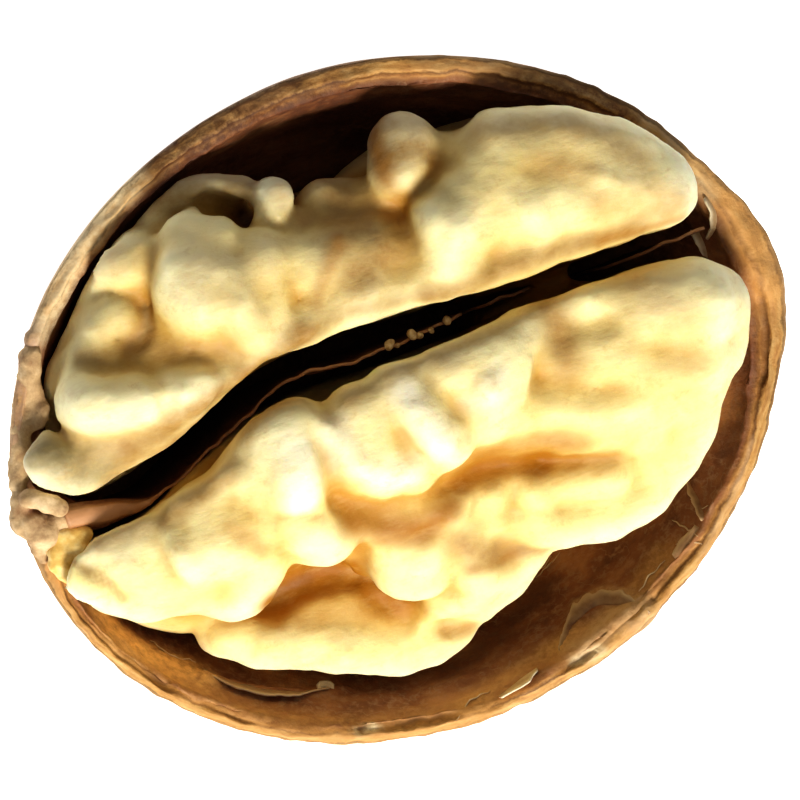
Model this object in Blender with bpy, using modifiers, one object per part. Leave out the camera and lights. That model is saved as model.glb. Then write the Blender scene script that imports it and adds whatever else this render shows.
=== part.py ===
"""Half of a cracked walnut: one shell half, the seed that grew in it and the papery septum between its lobes.

The nut lies on its round back with the opening up. +X runs along the nut from the blunt base to the pointed
tip, +Y across it to the far side, +Z up. The origin is the centre of the small flat spot that it rests on.
Sizes are in millimetres up to the point where a mesh is made. A height called "level" counts from the plane
of the rim, upwards.
"""

import math

import bmesh
import bpy
from mathutils import Matrix, Vector, noise

MM = 0.001

# Shell, outside: half its length, half its width, and the depth from the rim to the round's lowest point
HALF_LENGTH = 20.4
HALF_WIDTH = 17.5
DEPTH = 17.0
REST_FLAT = 0.3
RIM_HEIGHT = DEPTH - REST_FLAT
TIP_TAPER = 0.03
TIP_TAPER_POWER = 1.0
TIP_POINT = 0.9
TIP_POINT_STARTS = 0.9

# Shell, inside: the cavity is a little smaller, and lies off centre because the near wall is the thinner one
CAVITY_BASE_LENGTH = 19.9
CAVITY_TIP_LENGTH = 19.2
CAVITY_HALF_WIDTH = 16.6
CAVITY_DEPTH = 15.3
CAVITY_OFFSET = -0.2
WALL_SWELL = 0.6
WALL_SWELL_DEPTH = 0.2
BASE_KNOB_RISE = 2.2
BASE_KNOB_ANGLE = 181.0
BASE_KNOB_SPREAD = 6.0
BASE_KNOB_DEPTH = 20.0
WALL_RIPPLE = 0.12
RIPPLE_SIZE = 3.0

# Rim and outside relief
RIM_CROWN = 0.22
RIM_WAVE = 0.28
RIM_WAVE_SIZE = 5.0
RIM_WAVE_FADE = 3.0
SEAM_RIDGE = 0.3
SEAM_BAND = 2.6
LUMP_HEIGHT = 0.45
LUMP_SIZE = 4.5
GROOVE_DEPTH = 0.75
GROOVE_CELL = 6.0
GROOVE_STRETCH = 0.5
GROOVE_WIDTH = 0.52
GROOVE_WARP = 0.35
GROOVE_WARP_DETAIL = 1.4
GROOVE_PATCH = 0.9
GROOVE_FADE = (-0.8, -0.3)
SMOOTH_SPOT = 3.2
SMOOTH_SPOT_FADE = 6.0
SHELL_DIVISIONS = 26
RIM_ROWS = 1

# Each kind of noise starts at its own place, so that none repeats another
RIM_NOISE = Vector((0.0, 0.0, 3.0))
TORN_NOISE = Vector((0.0, 0.0, 5.0))
PATCH_NOISE = Vector((7.0, 0.0, 0.0))
WARP_NOISE = Vector((0.0, 13.0, 0.0))
RIPPLE_NOISE = Vector((0.0, 0.0, 11.0))

# Septum and the gap it stands in
GAP_AT_BASE = -0.8
GAP_RISE = 3.8
GAP_RISE_STARTS = -17.0
GAP_RISE_LENGTH = 12.0
GAP_LEAN = 0.22
GAP_LEAN_LEVEL = -2.0
SEPTUM_START = -16.6
SEPTUM_END = 17.3
SEPTUM_THICKNESS = 0.6
SEPTUM_ROOT_GAP = 0.8
SEPTUM_TOP = 0.4
SEPTUM_LEAST = 0.8
SEPTUM_TORN = 1.2
SEPTUM_TORN_SIZE = 1.7
SEPTUM_WAVE = 0.12
SEPTUM_WAVE_RATE = 0.9
SEPTUM_COLUMNS = 46
SEPTUM_ROWS = 6
NECK_START = 6.0
NECK_END = 11.6
NECK_TOP = -4.0
NECK_BOTTOM = -10.5
NECK_CLEARANCE = 1.1
NECK_SIDE_CLEARANCE = 0.8
NECK_SLOPE = 2.0
GAP_WIDTH = 2.1
GAP_WIDTH_TIP = 1.4
GAP_NARROWS = (1.0, 8.0)
GAP_TOP = 9.0
BLADE_COLUMNS = 60
BLADE_ROWS = 34

# Kernel
KERNEL_CLEARANCE = 0.35
KERNEL_OVERHANG = 0.7
OVERHANG_LEVELS = (0.9, 1.8)
KERNEL_VOXEL = 0.5
KERNEL_SOFTENING = 4
KERNEL_TRIANGLES = 8200
KERNEL_CEILING = 11.0

# A fold of the kernel is a rounded bar: its two ends as (x, y, level), and its radius
FAR_FOLDS = {
    "body_base": ((-13.4, 6.5, -4.6), (-5.0, 6.8, -5.0), 5.4),
    "body_middle": ((-5.0, 7.6, -5.8), (4.0, 7.8, -5.8), 4.6),
    "body_tip": ((4.0, 8.2, -5.0), (12.0, 8.0, -5.0), 5.0),
    "belly": ((-8.0, 6.5, -9.0), (8.0, 6.5, -9.0), 5.0),
    "core_base": ((-13.5, 7.6, -1.4), (-5.0, 8.2, -1.2), 2.9),
    "core_tip": ((-5.0, 8.4, -1.2), (12.6, 8.4, -0.6), 2.8),
    "cheek_floor": ((-13.6, 8.8, -2.8), (-9.6, 10.4, -3.0), 2.5),
    "back_floor": ((-9.6, 11.4, -3.6), (-3.0, 11.2, -3.6), 2.8),
    "base_lip": ((-18.6, 3.2, 0.2), (-16.4, 3.3, 0.2), 1.7),
    "base_wall": ((-16.0, 3.7, 0.4), (-10.0, 4.8, 1.2), 1.9),
    "base_fold": ((-15.8, 5.5, 1.4), (-12.4, 5.2, 1.9), 2.0),
    "base_fold_end": ((-12.4, 5.2, 1.9), (-9.2, 5.8, 1.8), 1.8),
    "base_saddle": ((-14.8, 7.9, -0.2), (-9.2, 7.4, 0.8), 2.0),
    "cheek_low": ((-14.2, 9.8, -1.2), (-12.6, 11.2, -1.4), 1.7),
    "cheek_high": ((-12.6, 11.3, -1.4), (-10.2, 11.5, -1.0), 1.7),
    "crown_base": ((-9.2, 9.8, 1.9), (-6.9, 9.0, 2.4), 2.7),
    "crown_peak": ((-8.2, 11.0, 1.0), (-7.6, 10.4, 1.4), 2.0),
    "crown_gap": ((-6.9, 9.0, 2.4), (-4.0, 8.0, 2.2), 2.4),
    "gap_crest": ((-8.2, 6.8, 2.2), (-3.0, 7.6, 1.9), 2.0),
    "gap_crest_middle": ((-3.0, 7.6, 1.9), (2.2, 7.3, 1.6), 2.0),
    "back_ridge": ((-9.0, 13.2, -1.2), (-7.0, 13.6, -0.9), 1.2),
    "back_ridge_end": ((-7.0, 13.6, -0.9), (-4.9, 12.9, -0.9), 1.2),
    "small_knob": ((-3.3, 12.2, 0.2), (-3.3, 10.6, 0.5), 1.4),
    "small_bump": ((-1.1, 11.6, -0.6), (-1.1, 10.0, -0.2), 1.1),
    "saddle_ridge": ((-1.2, 10.0, -0.2), (-0.9, 7.6, 1.2), 1.5),
    "saddle": ((1.2, 9.5, -1.4), (1.6, 7.8, 0.2), 2.1),
    "finger": ((4.1, 12.8, -0.1), (3.0, 10.4, 0.8), 1.8),
    "tip_step": ((6.2, 10.8, -1.4), (8.0, 10.8, -1.4), 1.5),
    "tip_crown": ((5.2, 8.0, 2.2), (9.3, 8.3, 2.7), 2.9),
    "tip_crown_end": ((9.3, 8.3, 2.7), (13.4, 7.2, 2.0), 2.8),
    "tip_nose": ((13.4, 7.0, 1.4), (16.2, 6.3, 0.5), 2.0),
    "tip_back": ((9.4, 11.1, -0.8), (11.4, 10.9, -0.6), 1.9),
    "tip_back_end": ((11.4, 10.9, -0.6), (14.8, 9.3, -0.6), 1.9),
}
NEAR_FOLDS = {
    "body_base": ((-13.0, -3.4, -4.8), (-4.0, -4.0, -5.2), 5.5),
    "body_tip": ((-4.0, -4.0, -5.2), (12.4, -3.0, -4.6), 5.5),
    "belly": ((-8.0, -4.5, -9.0), (8.0, -4.0, -9.0), 5.5),
    "core_base": ((-13.4, -3.2, -0.8), (-6.0, -2.4, 0.8), 2.7),
    "core_tip": ((-6.0, -2.4, 0.8), (12.6, -1.9, 0.8), 3.1),
    "toe": ((-18.8, -3.0, 0.0), (-16.4, -4.2, 0.2), 1.9),
    "heel": ((-16.6, -2.4, 1.0), (-15.0, -2.2, 1.4), 2.1),
    "base_crown": ((-13.8, -1.8, 2.2), (-12.6, -4.4, 1.5), 2.5),
    "base_front": ((-13.6, -5.0, 0.4), (-11.5, -6.0, 0.3), 2.1),
    "first_crown": ((-6.8, 0.8, 3.5), (-7.5, -2.0, 3.8), 2.6),
    "first_flank": ((-8.0, -2.4, 3.0), (-9.8, -5.0, 1.2), 2.4),
    "second_crown": ((-3.0, 1.1, 4.0), (-3.7, -2.6, 4.0), 2.0),
    "third_crown": ((0.1, 1.0, 3.8), (-0.2, -2.2, 4.2), 2.2),
    "third_flank": ((-0.2, -2.2, 3.8), (-1.6, -3.7, 2.6), 2.1),
    "fourth_crown": ((4.7, 1.0, 3.7), (3.8, -1.4, 3.9), 2.2),
    "fourth_flank": ((3.8, -1.4, 3.7), (2.4, -2.8, 3.0), 2.0),
    "fifth_crown": ((9.8, 1.9, 2.7), (8.6, 0.4, 2.4), 2.1),
    "tip_crown": ((13.0, 0.9, 2.6), (15.8, 0.3, 2.2), 2.9),
    "tip_ridge": ((8.0, -2.0, 3.3), (11.4, -2.8, 3.2), 2.6),
    "tip_end": ((16.4, -0.6, 1.3), (15.6, -3.0, 0.9), 2.5),
    "tip_flank": ((13.6, -4.6, 1.0), (11.4, -7.0, 0.2), 2.5),
    "front_lip": ((3.2, -7.4, -0.6), (5.6, -8.6, -0.8), 1.8),
    "front_lip_end": ((5.6, -8.6, -0.8), (9.4, -8.5, -0.8), 1.9),
    "knob_root": ((-1.6, -4.8, 1.4), (-2.3, -5.8, 0.8), 2.0),
    "knob": ((-2.3, -5.8, 0.8), (-3.0, -8.2, -0.3), 1.9),
    "apron": ((1.0, -9.4, -1.8), (3.1, -10.4, -2.4), 1.7),
    "apron_front": ((0.8, -11.2, -2.8), (2.0, -11.0, -2.8), 1.8),
    "tier_root": ((-10.0, -8.0, -5.4), (-0.6, -9.0, -5.4), 3.4),
    "tier_base": ((-12.2, -8.4, -2.6), (-10.6, -9.8, -2.6), 1.7),
    "tier_middle": ((-10.6, -9.8, -2.6), (-6.6, -11.6, -2.7), 1.8),
    "tier_tip": ((-6.6, -11.9, -2.7), (-3.2, -13.1, -3.0), 2.1),
    "tier_end": ((-3.2, -13.1, -3.0), (-0.8, -12.7, -3.3), 1.8),
}
NECK_FOLDS = {
    "neck": ((8.8, -2.0, -7.2), (8.8, 8.0, -7.2), 2.9),
}
HOLLOWS = {
    "far_pocket": ((-5.5, 12.3, 0.4), (-5.8, 11.8, -2.2), 0.9),
    "far_trough": ((-8.5, 12.4, 0.5), (-5.6, 12.2, -0.1), 0.8),
    "far_dimple": ((-13.7, 9.2, 1.3), (-12.6, 9.2, 1.3), 1.5),
    "near_trough": ((1.8, -4.4, 2.4), (8.4, -5.6, 1.4), 1.3),
    "tier_pocket": ((-9.2, -7.6, -1.4), (-5.6, -7.6, -1.2), 1.5),
}

COLOURS = {
    "shell": ((0.42, 0.27, 0.13), 0.75),
    "kernel": ((0.80, 0.62, 0.35), 0.5),
    "septum": ((0.30, 0.15, 0.07), 0.7),
}


def smooth_step(low, high, value):
    """0 below low, 1 above high, and an even curve between."""
    share = min(1.0, max(0.0, (value - low) / (high - low)))
    return share * share * (3.0 - 2.0 * share)


def clear_scene():
    for obj in list(bpy.data.objects):
        bpy.data.objects.remove(obj)


def material(name):
    colour, roughness = COLOURS[name]
    made = bpy.data.materials.new(name)
    made.use_nodes = True
    shader = made.node_tree.nodes["Principled BSDF"]
    shader.inputs["Base Color"].default_value = (*colour, 1.0)
    shader.inputs["Roughness"].default_value = roughness
    shader.inputs["Metallic"].default_value = 0.0
    made.diffuse_color = (*colour, 1.0)
    return made


def new_collection(name):
    made = bpy.data.collections.new(name)
    bpy.context.scene.collection.children.link(made)
    return made


def add_object(name, bm, collection):
    """An object from a bmesh in rim-level millimetres, now in metres above the surface it rests on."""
    bm.transform(Matrix.Scale(MM, 4) @ Matrix.Translation((0, 0, RIM_HEIGHT)))
    mesh = bpy.data.meshes.new(name)
    bm.to_mesh(mesh)
    bm.free()
    obj = bpy.data.objects.new(name, mesh)
    collection.objects.link(obj)
    return obj


def cube_grid(divisions):
    """A cube from -1 to 1, each side cut into a grid."""
    bm = bmesh.new()
    bmesh.ops.create_cube(bm, size=2.0)
    bmesh.ops.subdivide_edges(bm, edges=bm.edges[:], cuts=divisions - 1, use_grid_fill=True)
    return bm


def ball_place(corner):
    """A cube's point as a compass direction and the angle from the nearer pole, in even rings."""
    reach = max(abs(corner.x), abs(corner.y))
    if reach < 1e-6:
        return Vector((1.0, 0.0)), 0.0
    even = math.pi / 4
    compass = Vector((math.tan(corner.x / reach * even), math.tan(corner.y / reach * even))).normalized()
    on_cap = abs(corner.z) > 1.0 - 1e-6
    polar = reach * even if on_cap else 2 * even - abs(corner.z) * even
    return compass, polar


def direction(compass, polar):
    """The unit vector that many radians up from straight down."""
    return Vector((compass.x * math.sin(polar), compass.y * math.sin(polar), -math.cos(polar)))


def taper(along):
    """How far the nut has narrowed at this share of its length from the middle to the tip."""
    return 1.0 - TIP_TAPER * max(0.0, along) ** TIP_TAPER_POWER


def outer_round(toward):
    """The shell's outside with no relief."""
    narrow = taper(toward.x)
    point = max(0.0, (toward.x - TIP_POINT_STARTS) / (1.0 - TIP_POINT_STARTS)) ** 2
    return Vector((
        HALF_LENGTH * toward.x + TIP_POINT * point,
        HALF_WIDTH * narrow * toward.y,
        DEPTH * narrow * toward.z,
    ))


def base_knob(toward):
    """How much of the corky knob stands at this place, where the stalk's strands came in: 0 to 1."""
    turn = math.degrees(math.atan2(toward.y, toward.x)) % 360.0 - BASE_KNOB_ANGLE
    below = math.degrees(math.asin(min(1.0, max(-1.0, -toward.z))))
    fade = 1.0 - smooth_step(0.3, 1.0, below / BASE_KNOB_DEPTH)
    return math.exp(-((turn / BASE_KNOB_SPREAD) ** 2)) * fade


def cavity_round(toward, clearance=0.0):
    """The shell's inside, or the surface that stands clear of it. The wall swells just below the rim."""
    narrow = taper(toward.x)
    length = CAVITY_TIP_LENGTH if toward.x > 0 else CAVITY_BASE_LENGTH
    inset = clearance + WALL_SWELL * smooth_step(0.0, WALL_SWELL_DEPTH, -toward.z)
    place = Vector((
        (length - inset) * toward.x,
        (CAVITY_HALF_WIDTH - inset) * narrow * toward.y + CAVITY_OFFSET,
        (CAVITY_DEPTH - clearance) * narrow * toward.z,
    ))
    place.x += BASE_KNOB_RISE * base_knob(toward)
    return place


def floor_level(x, y):
    """The level of the cavity's floor under a point."""
    length = CAVITY_TIP_LENGTH if x > 0 else CAVITY_BASE_LENGTH
    along = x / (length - WALL_SWELL)
    narrow = taper(along)
    across = (y - CAVITY_OFFSET) / ((CAVITY_HALF_WIDTH - WALL_SWELL) * narrow)
    return -CAVITY_DEPTH * narrow * math.sqrt(max(0.0, 1.0 - along * along - across * across))


def warp(place):
    """Three noises, one for each axis."""
    return Vector([noise.noise(place + axis * WARP_NOISE) for axis in range(3)])


def groove(place):
    """The net of grooves on the outside, 1 in the bottom of a groove and 0 between them."""
    at = Vector((place.x * GROOVE_STRETCH, place.y, place.z)) / GROOVE_CELL
    at += GROOVE_WARP * warp(at * GROOVE_WARP_DETAIL)
    distances, _ = noise.voronoi(at)
    edge = 1.0 - smooth_step(0.0, GROOVE_WIDTH, distances[1] - distances[0])
    return edge * smooth_step(*GROOVE_FADE, noise.noise(at * GROOVE_PATCH + PATCH_NOISE))


def relief(place):
    """How far the outside stands out from its round at this point."""
    lumps = LUMP_HEIGHT * noise.noise(place / LUMP_SIZE)
    below_rim = smooth_step(0.4, SEAM_BAND, -place.z)
    seam = SEAM_RIDGE * (1.0 - smooth_step(0.6, SEAM_BAND, -place.z))
    from_spot = math.hypot(place.x, place.y)
    rough = smooth_step(SMOOTH_SPOT, SMOOTH_SPOT_FADE, from_spot) if place.z < 0.6 * -DEPTH else 1.0
    return (lumps - GROOVE_DEPTH * groove(place)) * below_rim * rough + seam


def rim_wave(place):
    """The rim's rise and fall along its length."""
    return RIM_WAVE * noise.noise(Vector((place.x, place.y, 0.0)) / RIM_WAVE_SIZE + RIM_NOISE)


def outer_wall(toward):
    smooth = outer_round(toward)
    outward = Vector((
        toward.x / HALF_LENGTH,
        toward.y / HALF_WIDTH,
        toward.z / DEPTH,
    )).normalized()
    return smooth + outward * relief(smooth)


def inner_wall(toward):
    place = cavity_round(toward)
    ripple = WALL_RIPPLE * noise.noise(place / RIPPLE_SIZE + RIPPLE_NOISE)
    return place * (1.0 - ripple / CAVITY_DEPTH)


def shell_point(corner, divisions, rim_rows):
    """A point of the cube, carried to the shell: its lower half is the outside, its upper half folds into
    the cavity, and the rows round its middle make the rim."""
    compass, polar = ball_place(corner)
    rim_share = 2.0 * rim_rows / divisions
    if abs(corner.z) <= rim_share + 1e-6:
        across = 0.5 + 0.5 * corner.z / rim_share
        edge = direction(compass, math.pi / 2)
        place = outer_wall(edge).lerp(inner_wall(edge), across)
        place.z += RIM_CROWN * math.sin(math.pi * across)
        place.z += rim_wave(place)
        return place
    if abs(corner.z) < 1.0 - 1e-6:
        polar = math.pi / 2 - math.pi / 4 * (abs(corner.z) - rim_share) / (1.0 - rim_share)
    toward = direction(compass, polar)
    place = outer_wall(toward) if corner.z < 0 else inner_wall(toward)
    place.z += rim_wave(place) * (1.0 - smooth_step(0.0, RIM_WAVE_FADE, -place.z))
    return place


def build_shell(collection):
    bm = cube_grid(SHELL_DIVISIONS)
    for vertex in bm.verts:
        place = shell_point(vertex.co.copy(), SHELL_DIVISIONS, RIM_ROWS)
        place.z = max(place.z, -RIM_HEIGHT)
        vertex.co = place
    bmesh.ops.recalc_face_normals(bm, faces=bm.faces[:])
    return add_object("shell", bm, collection)


def gap_line(x, level):
    """The middle of the gap between the kernel's lobes, as y."""
    rise = smooth_step(0.0, 1.0, (x - GAP_RISE_STARTS) / GAP_RISE_LENGTH)
    return GAP_AT_BASE + GAP_RISE * rise + GAP_LEAN * (level - GAP_LEAN_LEVEL)


def septum_top(x):
    """The level of the septum's torn upper edge: it dips under the kernel's neck."""
    high = SEPTUM_TOP + SEPTUM_TORN * noise.noise(Vector((x / SEPTUM_TORN_SIZE, 0.0, 0.0)) + TORN_NOISE)
    dip_start = NECK_START - NECK_SIDE_CLEARANCE
    dip_end = NECK_END + NECK_SIDE_CLEARANCE
    past_start = smooth_step(dip_start - NECK_SLOPE, dip_start, x)
    past_end = smooth_step(dip_end, dip_end + NECK_SLOPE, x)
    return high + past_start * (1.0 - past_end) * (NECK_BOTTOM - NECK_CLEARANCE - high)


def septum_root(x):
    """The level of the septum's lower edge, just clear of the cavity's floor."""
    level = -CAVITY_DEPTH
    for _ in range(4):
        level = floor_level(x, gap_line(x, level)) + SEPTUM_ROOT_GAP
    return level


def build_septum(collection):
    """A thin leaning sheet along the gap, thicker where it comes out of the base."""
    bm = bmesh.new()
    bmesh.ops.create_grid(bm, x_segments=SEPTUM_COLUMNS, y_segments=SEPTUM_ROWS, size=1.0)
    for vertex in bm.verts:
        x = SEPTUM_START + (SEPTUM_END - SEPTUM_START) * (vertex.co.x + 1.0) / 2.0
        root = septum_root(x)
        level = root + max(septum_top(x) - root, SEPTUM_LEAST) * (vertex.co.y + 1.0) / 2.0
        wave = SEPTUM_WAVE * math.sin(x * SEPTUM_WAVE_RATE)
        vertex.co = (x, gap_line(x, level) + wave, level)
    obj = add_object("septum", bm, collection)
    sheet = obj.modifiers.new("sheet", "SOLIDIFY")
    sheet.thickness = SEPTUM_THICKNESS * MM
    sheet.offset = 0.0
    return obj


def add_bars(bm, bars):
    """Rounded bars, each a ball drawn out from one end to the other."""
    for start, end, radius in bars:
        start, end = Vector(start), Vector(end)
        along = end - start
        turn = along.to_track_quat("X", "Z").to_matrix().to_4x4()
        ball = bmesh.ops.create_icosphere(bm, subdivisions=3, radius=radius)["verts"]
        for vertex in ball:
            vertex.co.x += math.copysign(along.length / 2, vertex.co.x)
        bmesh.ops.transform(bm, matrix=Matrix.Translation((start + end) / 2) @ turn, verts=ball)


def build_cavity_cutter(collection):
    """The space that the kernel may fill: the cavity less its clearance, and a wider room above the rim."""
    bm = cube_grid(SHELL_DIVISIONS)
    for vertex in bm.verts:
        corner = vertex.co.copy()
        compass, polar = ball_place(corner)
        if corner.z > 1e-6:
            rise = min(1.0, corner.z) * KERNEL_CEILING
            overhang = KERNEL_OVERHANG * smooth_step(*OVERHANG_LEVELS, rise)
            edge = cavity_round(direction(compass, math.pi / 2), KERNEL_CLEARANCE - overhang)
            cap = polar / (math.pi / 4) if corner.z > 1.0 - 1e-6 else 1.0
            vertex.co = (edge.x * cap, edge.y * cap, rise)
        else:
            vertex.co = cavity_round(direction(compass, polar), KERNEL_CLEARANCE)
    bmesh.ops.recalc_face_normals(bm, faces=bm.faces[:])
    return add_object("kernel_room", bm, collection)


def build_gap_cutter(collection):
    """A leaning blade along the gap, narrower at the tip, with a window for the kernel's neck."""
    bm = bmesh.new()
    bmesh.ops.create_grid(bm, x_segments=BLADE_COLUMNS, y_segments=BLADE_ROWS, size=1.0)
    reach = HALF_LENGTH + 2.0
    bottom = -DEPTH - 2.0
    for vertex in bm.verts:
        level = bottom + (GAP_TOP - bottom) * (vertex.co.y + 1.0) / 2.0
        vertex.co = (reach * vertex.co.x, level, 0.0)
    window = [
        face for face in bm.faces
        if NECK_START < face.calc_center_median().x < NECK_END
        and NECK_BOTTOM < face.calc_center_median().y < NECK_TOP
    ]
    bmesh.ops.delete(bm, geom=window, context="FACES")
    for vertex in bm.verts:
        x, level = vertex.co.x, vertex.co.y
        vertex.co = (x, gap_line(x, level), level)
    obj = add_object("gap_blade", bm, collection)
    width = obj.vertex_groups.new(name="width")
    for vertex in obj.data.vertices:
        wide = 1.0 - smooth_step(*GAP_NARROWS, vertex.co.x / MM)
        width.add([vertex.index], wide, "REPLACE")
    blade = obj.modifiers.new("blade", "SOLIDIFY")
    blade.thickness = GAP_WIDTH * MM
    blade.vertex_group = width.name
    blade.thickness_vertex_group = GAP_WIDTH_TIP / GAP_WIDTH
    blade.offset = 0.0
    return obj


def add_boolean(obj, name, operation, cutter):
    cut = obj.modifiers.new(name, "BOOLEAN")
    cut.operation = operation
    cut.object = cutter
    cut.solver = "EXACT"
    return cut


def add_remesh(obj, name):
    """Fuses what overlaps into one even skin."""
    skin = obj.modifiers.new(name, "REMESH")
    skin.mode = "VOXEL"
    skin.voxel_size = KERNEL_VOXEL * MM


def build_folds(name, bars, collection):
    bm = bmesh.new()
    add_bars(bm, bars)
    obj = add_object(name, bm, collection)
    add_remesh(obj, "fuse")
    return obj


def build_kernel(collection, cutters):
    """Two lobes of fused folds, hollowed, parted by the gap and trimmed to the cavity that they grew in."""
    bars = [*FAR_FOLDS.values(), *NEAR_FOLDS.values(), *NECK_FOLDS.values()]
    obj = build_folds("kernel", bars, collection)
    add_boolean(obj, "hollow", "DIFFERENCE", build_folds("hollows", HOLLOWS.values(), cutters))
    add_boolean(obj, "part", "DIFFERENCE", build_gap_cutter(cutters))
    add_boolean(obj, "trim", "INTERSECT", build_cavity_cutter(cutters))
    add_remesh(obj, "even")
    soften = obj.modifiers.new("soften", "SMOOTH")
    soften.factor = 0.5
    soften.iterations = KERNEL_SOFTENING
    return obj


def thin_out(obj, triangles):
    """Applies the modifiers and brings the mesh down to about that many triangles."""
    graph = bpy.context.evaluated_depsgraph_get()
    mesh = bpy.data.meshes.new_from_object(obj.evaluated_get(graph))
    obj.modifiers.clear()
    obj.data = mesh
    mesh.calc_loop_triangles()
    fewer = obj.modifiers.new("fewer", "DECIMATE")
    fewer.ratio = triangles / len(mesh.loop_triangles)
    fewer.use_collapse_triangulate = True


def finish(obj):
    obj.data.materials.clear()
    obj.data.materials.append(material(obj.name))
    obj.data.shade_smooth()


def main():
    clear_scene()
    walnut = new_collection("cracked_walnut")
    cutters = new_collection("cutters")
    shell = build_shell(walnut)
    septum = build_septum(walnut)
    kernel = build_kernel(walnut, cutters)
    for helper in cutters.objects:
        helper.hide_render = True
        helper.display_type = "WIRE"
    thin_out(kernel, KERNEL_TRIANGLES)
    for obj in (shell, septum, kernel):
        finish(obj)


main()
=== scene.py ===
"""Looks for the cracked walnut: a finely modelled seed, half shell, septum and torn membranes, and their materials.

Lengths are in millimetres until a mesh is made. +X runs to the nut's pointed tip, +Y across it to the far side. A
height called "level" counts from the plane of the shell's rim, upwards. A place given in pixels is where the
photograph's camera sees it, in a picture of 800 by 800.
"""

import math

import bmesh
import bpy
import numpy as np
from mathutils import Matrix, Vector, noise
from mathutils.bvhtree import BVHTree

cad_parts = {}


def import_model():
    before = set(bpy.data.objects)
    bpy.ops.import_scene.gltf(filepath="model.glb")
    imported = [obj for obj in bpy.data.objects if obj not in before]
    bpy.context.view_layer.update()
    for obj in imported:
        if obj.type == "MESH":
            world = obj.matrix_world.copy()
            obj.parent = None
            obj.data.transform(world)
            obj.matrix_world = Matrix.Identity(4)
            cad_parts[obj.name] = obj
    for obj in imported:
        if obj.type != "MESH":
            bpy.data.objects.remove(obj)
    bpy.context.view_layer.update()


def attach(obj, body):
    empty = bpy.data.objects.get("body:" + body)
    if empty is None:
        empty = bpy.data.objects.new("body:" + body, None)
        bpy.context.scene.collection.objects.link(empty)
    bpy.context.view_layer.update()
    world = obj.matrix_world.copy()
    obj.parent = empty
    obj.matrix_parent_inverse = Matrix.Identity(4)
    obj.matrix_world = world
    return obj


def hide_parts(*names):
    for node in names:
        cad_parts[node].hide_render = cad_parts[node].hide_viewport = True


MM = 0.001

# Camera: where it looks from, and where the middle of the rim's plane falls in the picture
CAMERA_TILT = 17.0
CAMERA_TOWARD = 148.0
CAMERA_ROLL = 18.0
CAMERA_DISTANCE = 200.0
PICTURE_SIZE = 800
PICTURE_PLACE = (403.2, 402.1)
PIXELS_PER_MM = 19.3
SENSOR = 36.0

# Light: the soft dome's bright side and its strength away from it and towards it, and the lamp
DOME_TOWARD = (0.1, -0.85, 0.5)
DOME_STRENGTH = (0.06, 0.42)
KEY_PLACE = (-35.0, -150.0, 190.0)
KEY_SIZE = 80.0
KEY_WATTS = 0.66
KEY_COLOUR = (1.0, 0.95, 0.84)
FLOOR_GLOW = 0.75

# Shell, as in the part
HALF_LENGTH = 20.4
HALF_WIDTH = 17.5
DEPTH = 17.0
RIM_HEIGHT = 16.7
TIP_TAPER = 0.03
TIP_POINT = 0.9
TIP_POINT_STARTS = 0.9
CAVITY_BASE_LENGTH = 19.9
CAVITY_TIP_LENGTH = 19.2
CAVITY_HALF_WIDTH = 16.6
CAVITY_DEPTH = 15.3
CAVITY_OFFSET = -0.2
WALL_SWELL = 0.6
WALL_SWELL_DEPTH = 0.2
BASE_KNOB_RISE = 2.2
BASE_KNOB_ANGLE = 181.0
BASE_KNOB_SPREAD = 6.0
BASE_KNOB_DEPTH = 20.0
RIM_CROWN = 0.22
RIM_WAVE = 0.28
RIM_WAVE_SIZE = 5.0
SEAM_RIDGE = 0.3
SEAM_BAND = 2.6
LUMP_HEIGHT = 0.45
LUMP_SIZE = 4.5
GROOVE_DEPTH = 0.75
GROOVE_CELL = 6.0
GROOVE_STRETCH = 0.5
GROOVE_WIDTH = 0.52
GROOVE_WARP = 0.35
SMOOTH_SPOT = 3.2
SMOOTH_SPOT_FADE = 6.0

# Shell's finer relief
FINE_CELL = 2.1
FINE_WARP = 0.5
FINE_WIDTH = 0.22
FINE_DEPTH = 0.22
FIBRE_HEIGHT = 0.05
RIM_FIBRE = 0.14
RIM_GRAIN = 0.06
RIM_RAGGED = 0.12
RIM_STEP = 0.32
RIM_STEP_PLACE = (0.52, 0.62)
RIM_STEP_PATCH = 3.2

SHELL_DIVISIONS = 96
RIM_ROWS = 6
RIM_WAVE_FADE = 3.0
WALL_RIPPLE = 0.12
RIPPLE_SIZE = 3.0
GROOVE_WARP_DETAIL = 1.4
GROOVE_PATCH = 0.9
GROOVE_FADE = (-0.8, -0.3)
RIM_NOISE = Vector((0.0, 0.0, 3.0))
TORN_NOISE = Vector((0.0, 0.0, 5.0))
PATCH_NOISE = Vector((7.0, 0.0, 0.0))
WARP_NOISE = Vector((0.0, 13.0, 0.0))
RIPPLE_NOISE = Vector((0.0, 0.0, 11.0))

# Gap, as in the part
GAP_AT_BASE = -0.8
GAP_RISE = 3.8
GAP_RISE_STARTS = -17.0
GAP_RISE_LENGTH = 12.0
GAP_LEAN = 0.22
GAP_LEAN_LEVEL = -2.0
GAP_WIDTH = 2.1
GAP_WIDTH_TIP = 1.4
GAP_NARROWS = (1.0, 8.0)
NECK_START = 6.0
NECK_END = 11.6
NECK_TOP = -4.0
NECK_BOTTOM = -10.5

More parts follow.
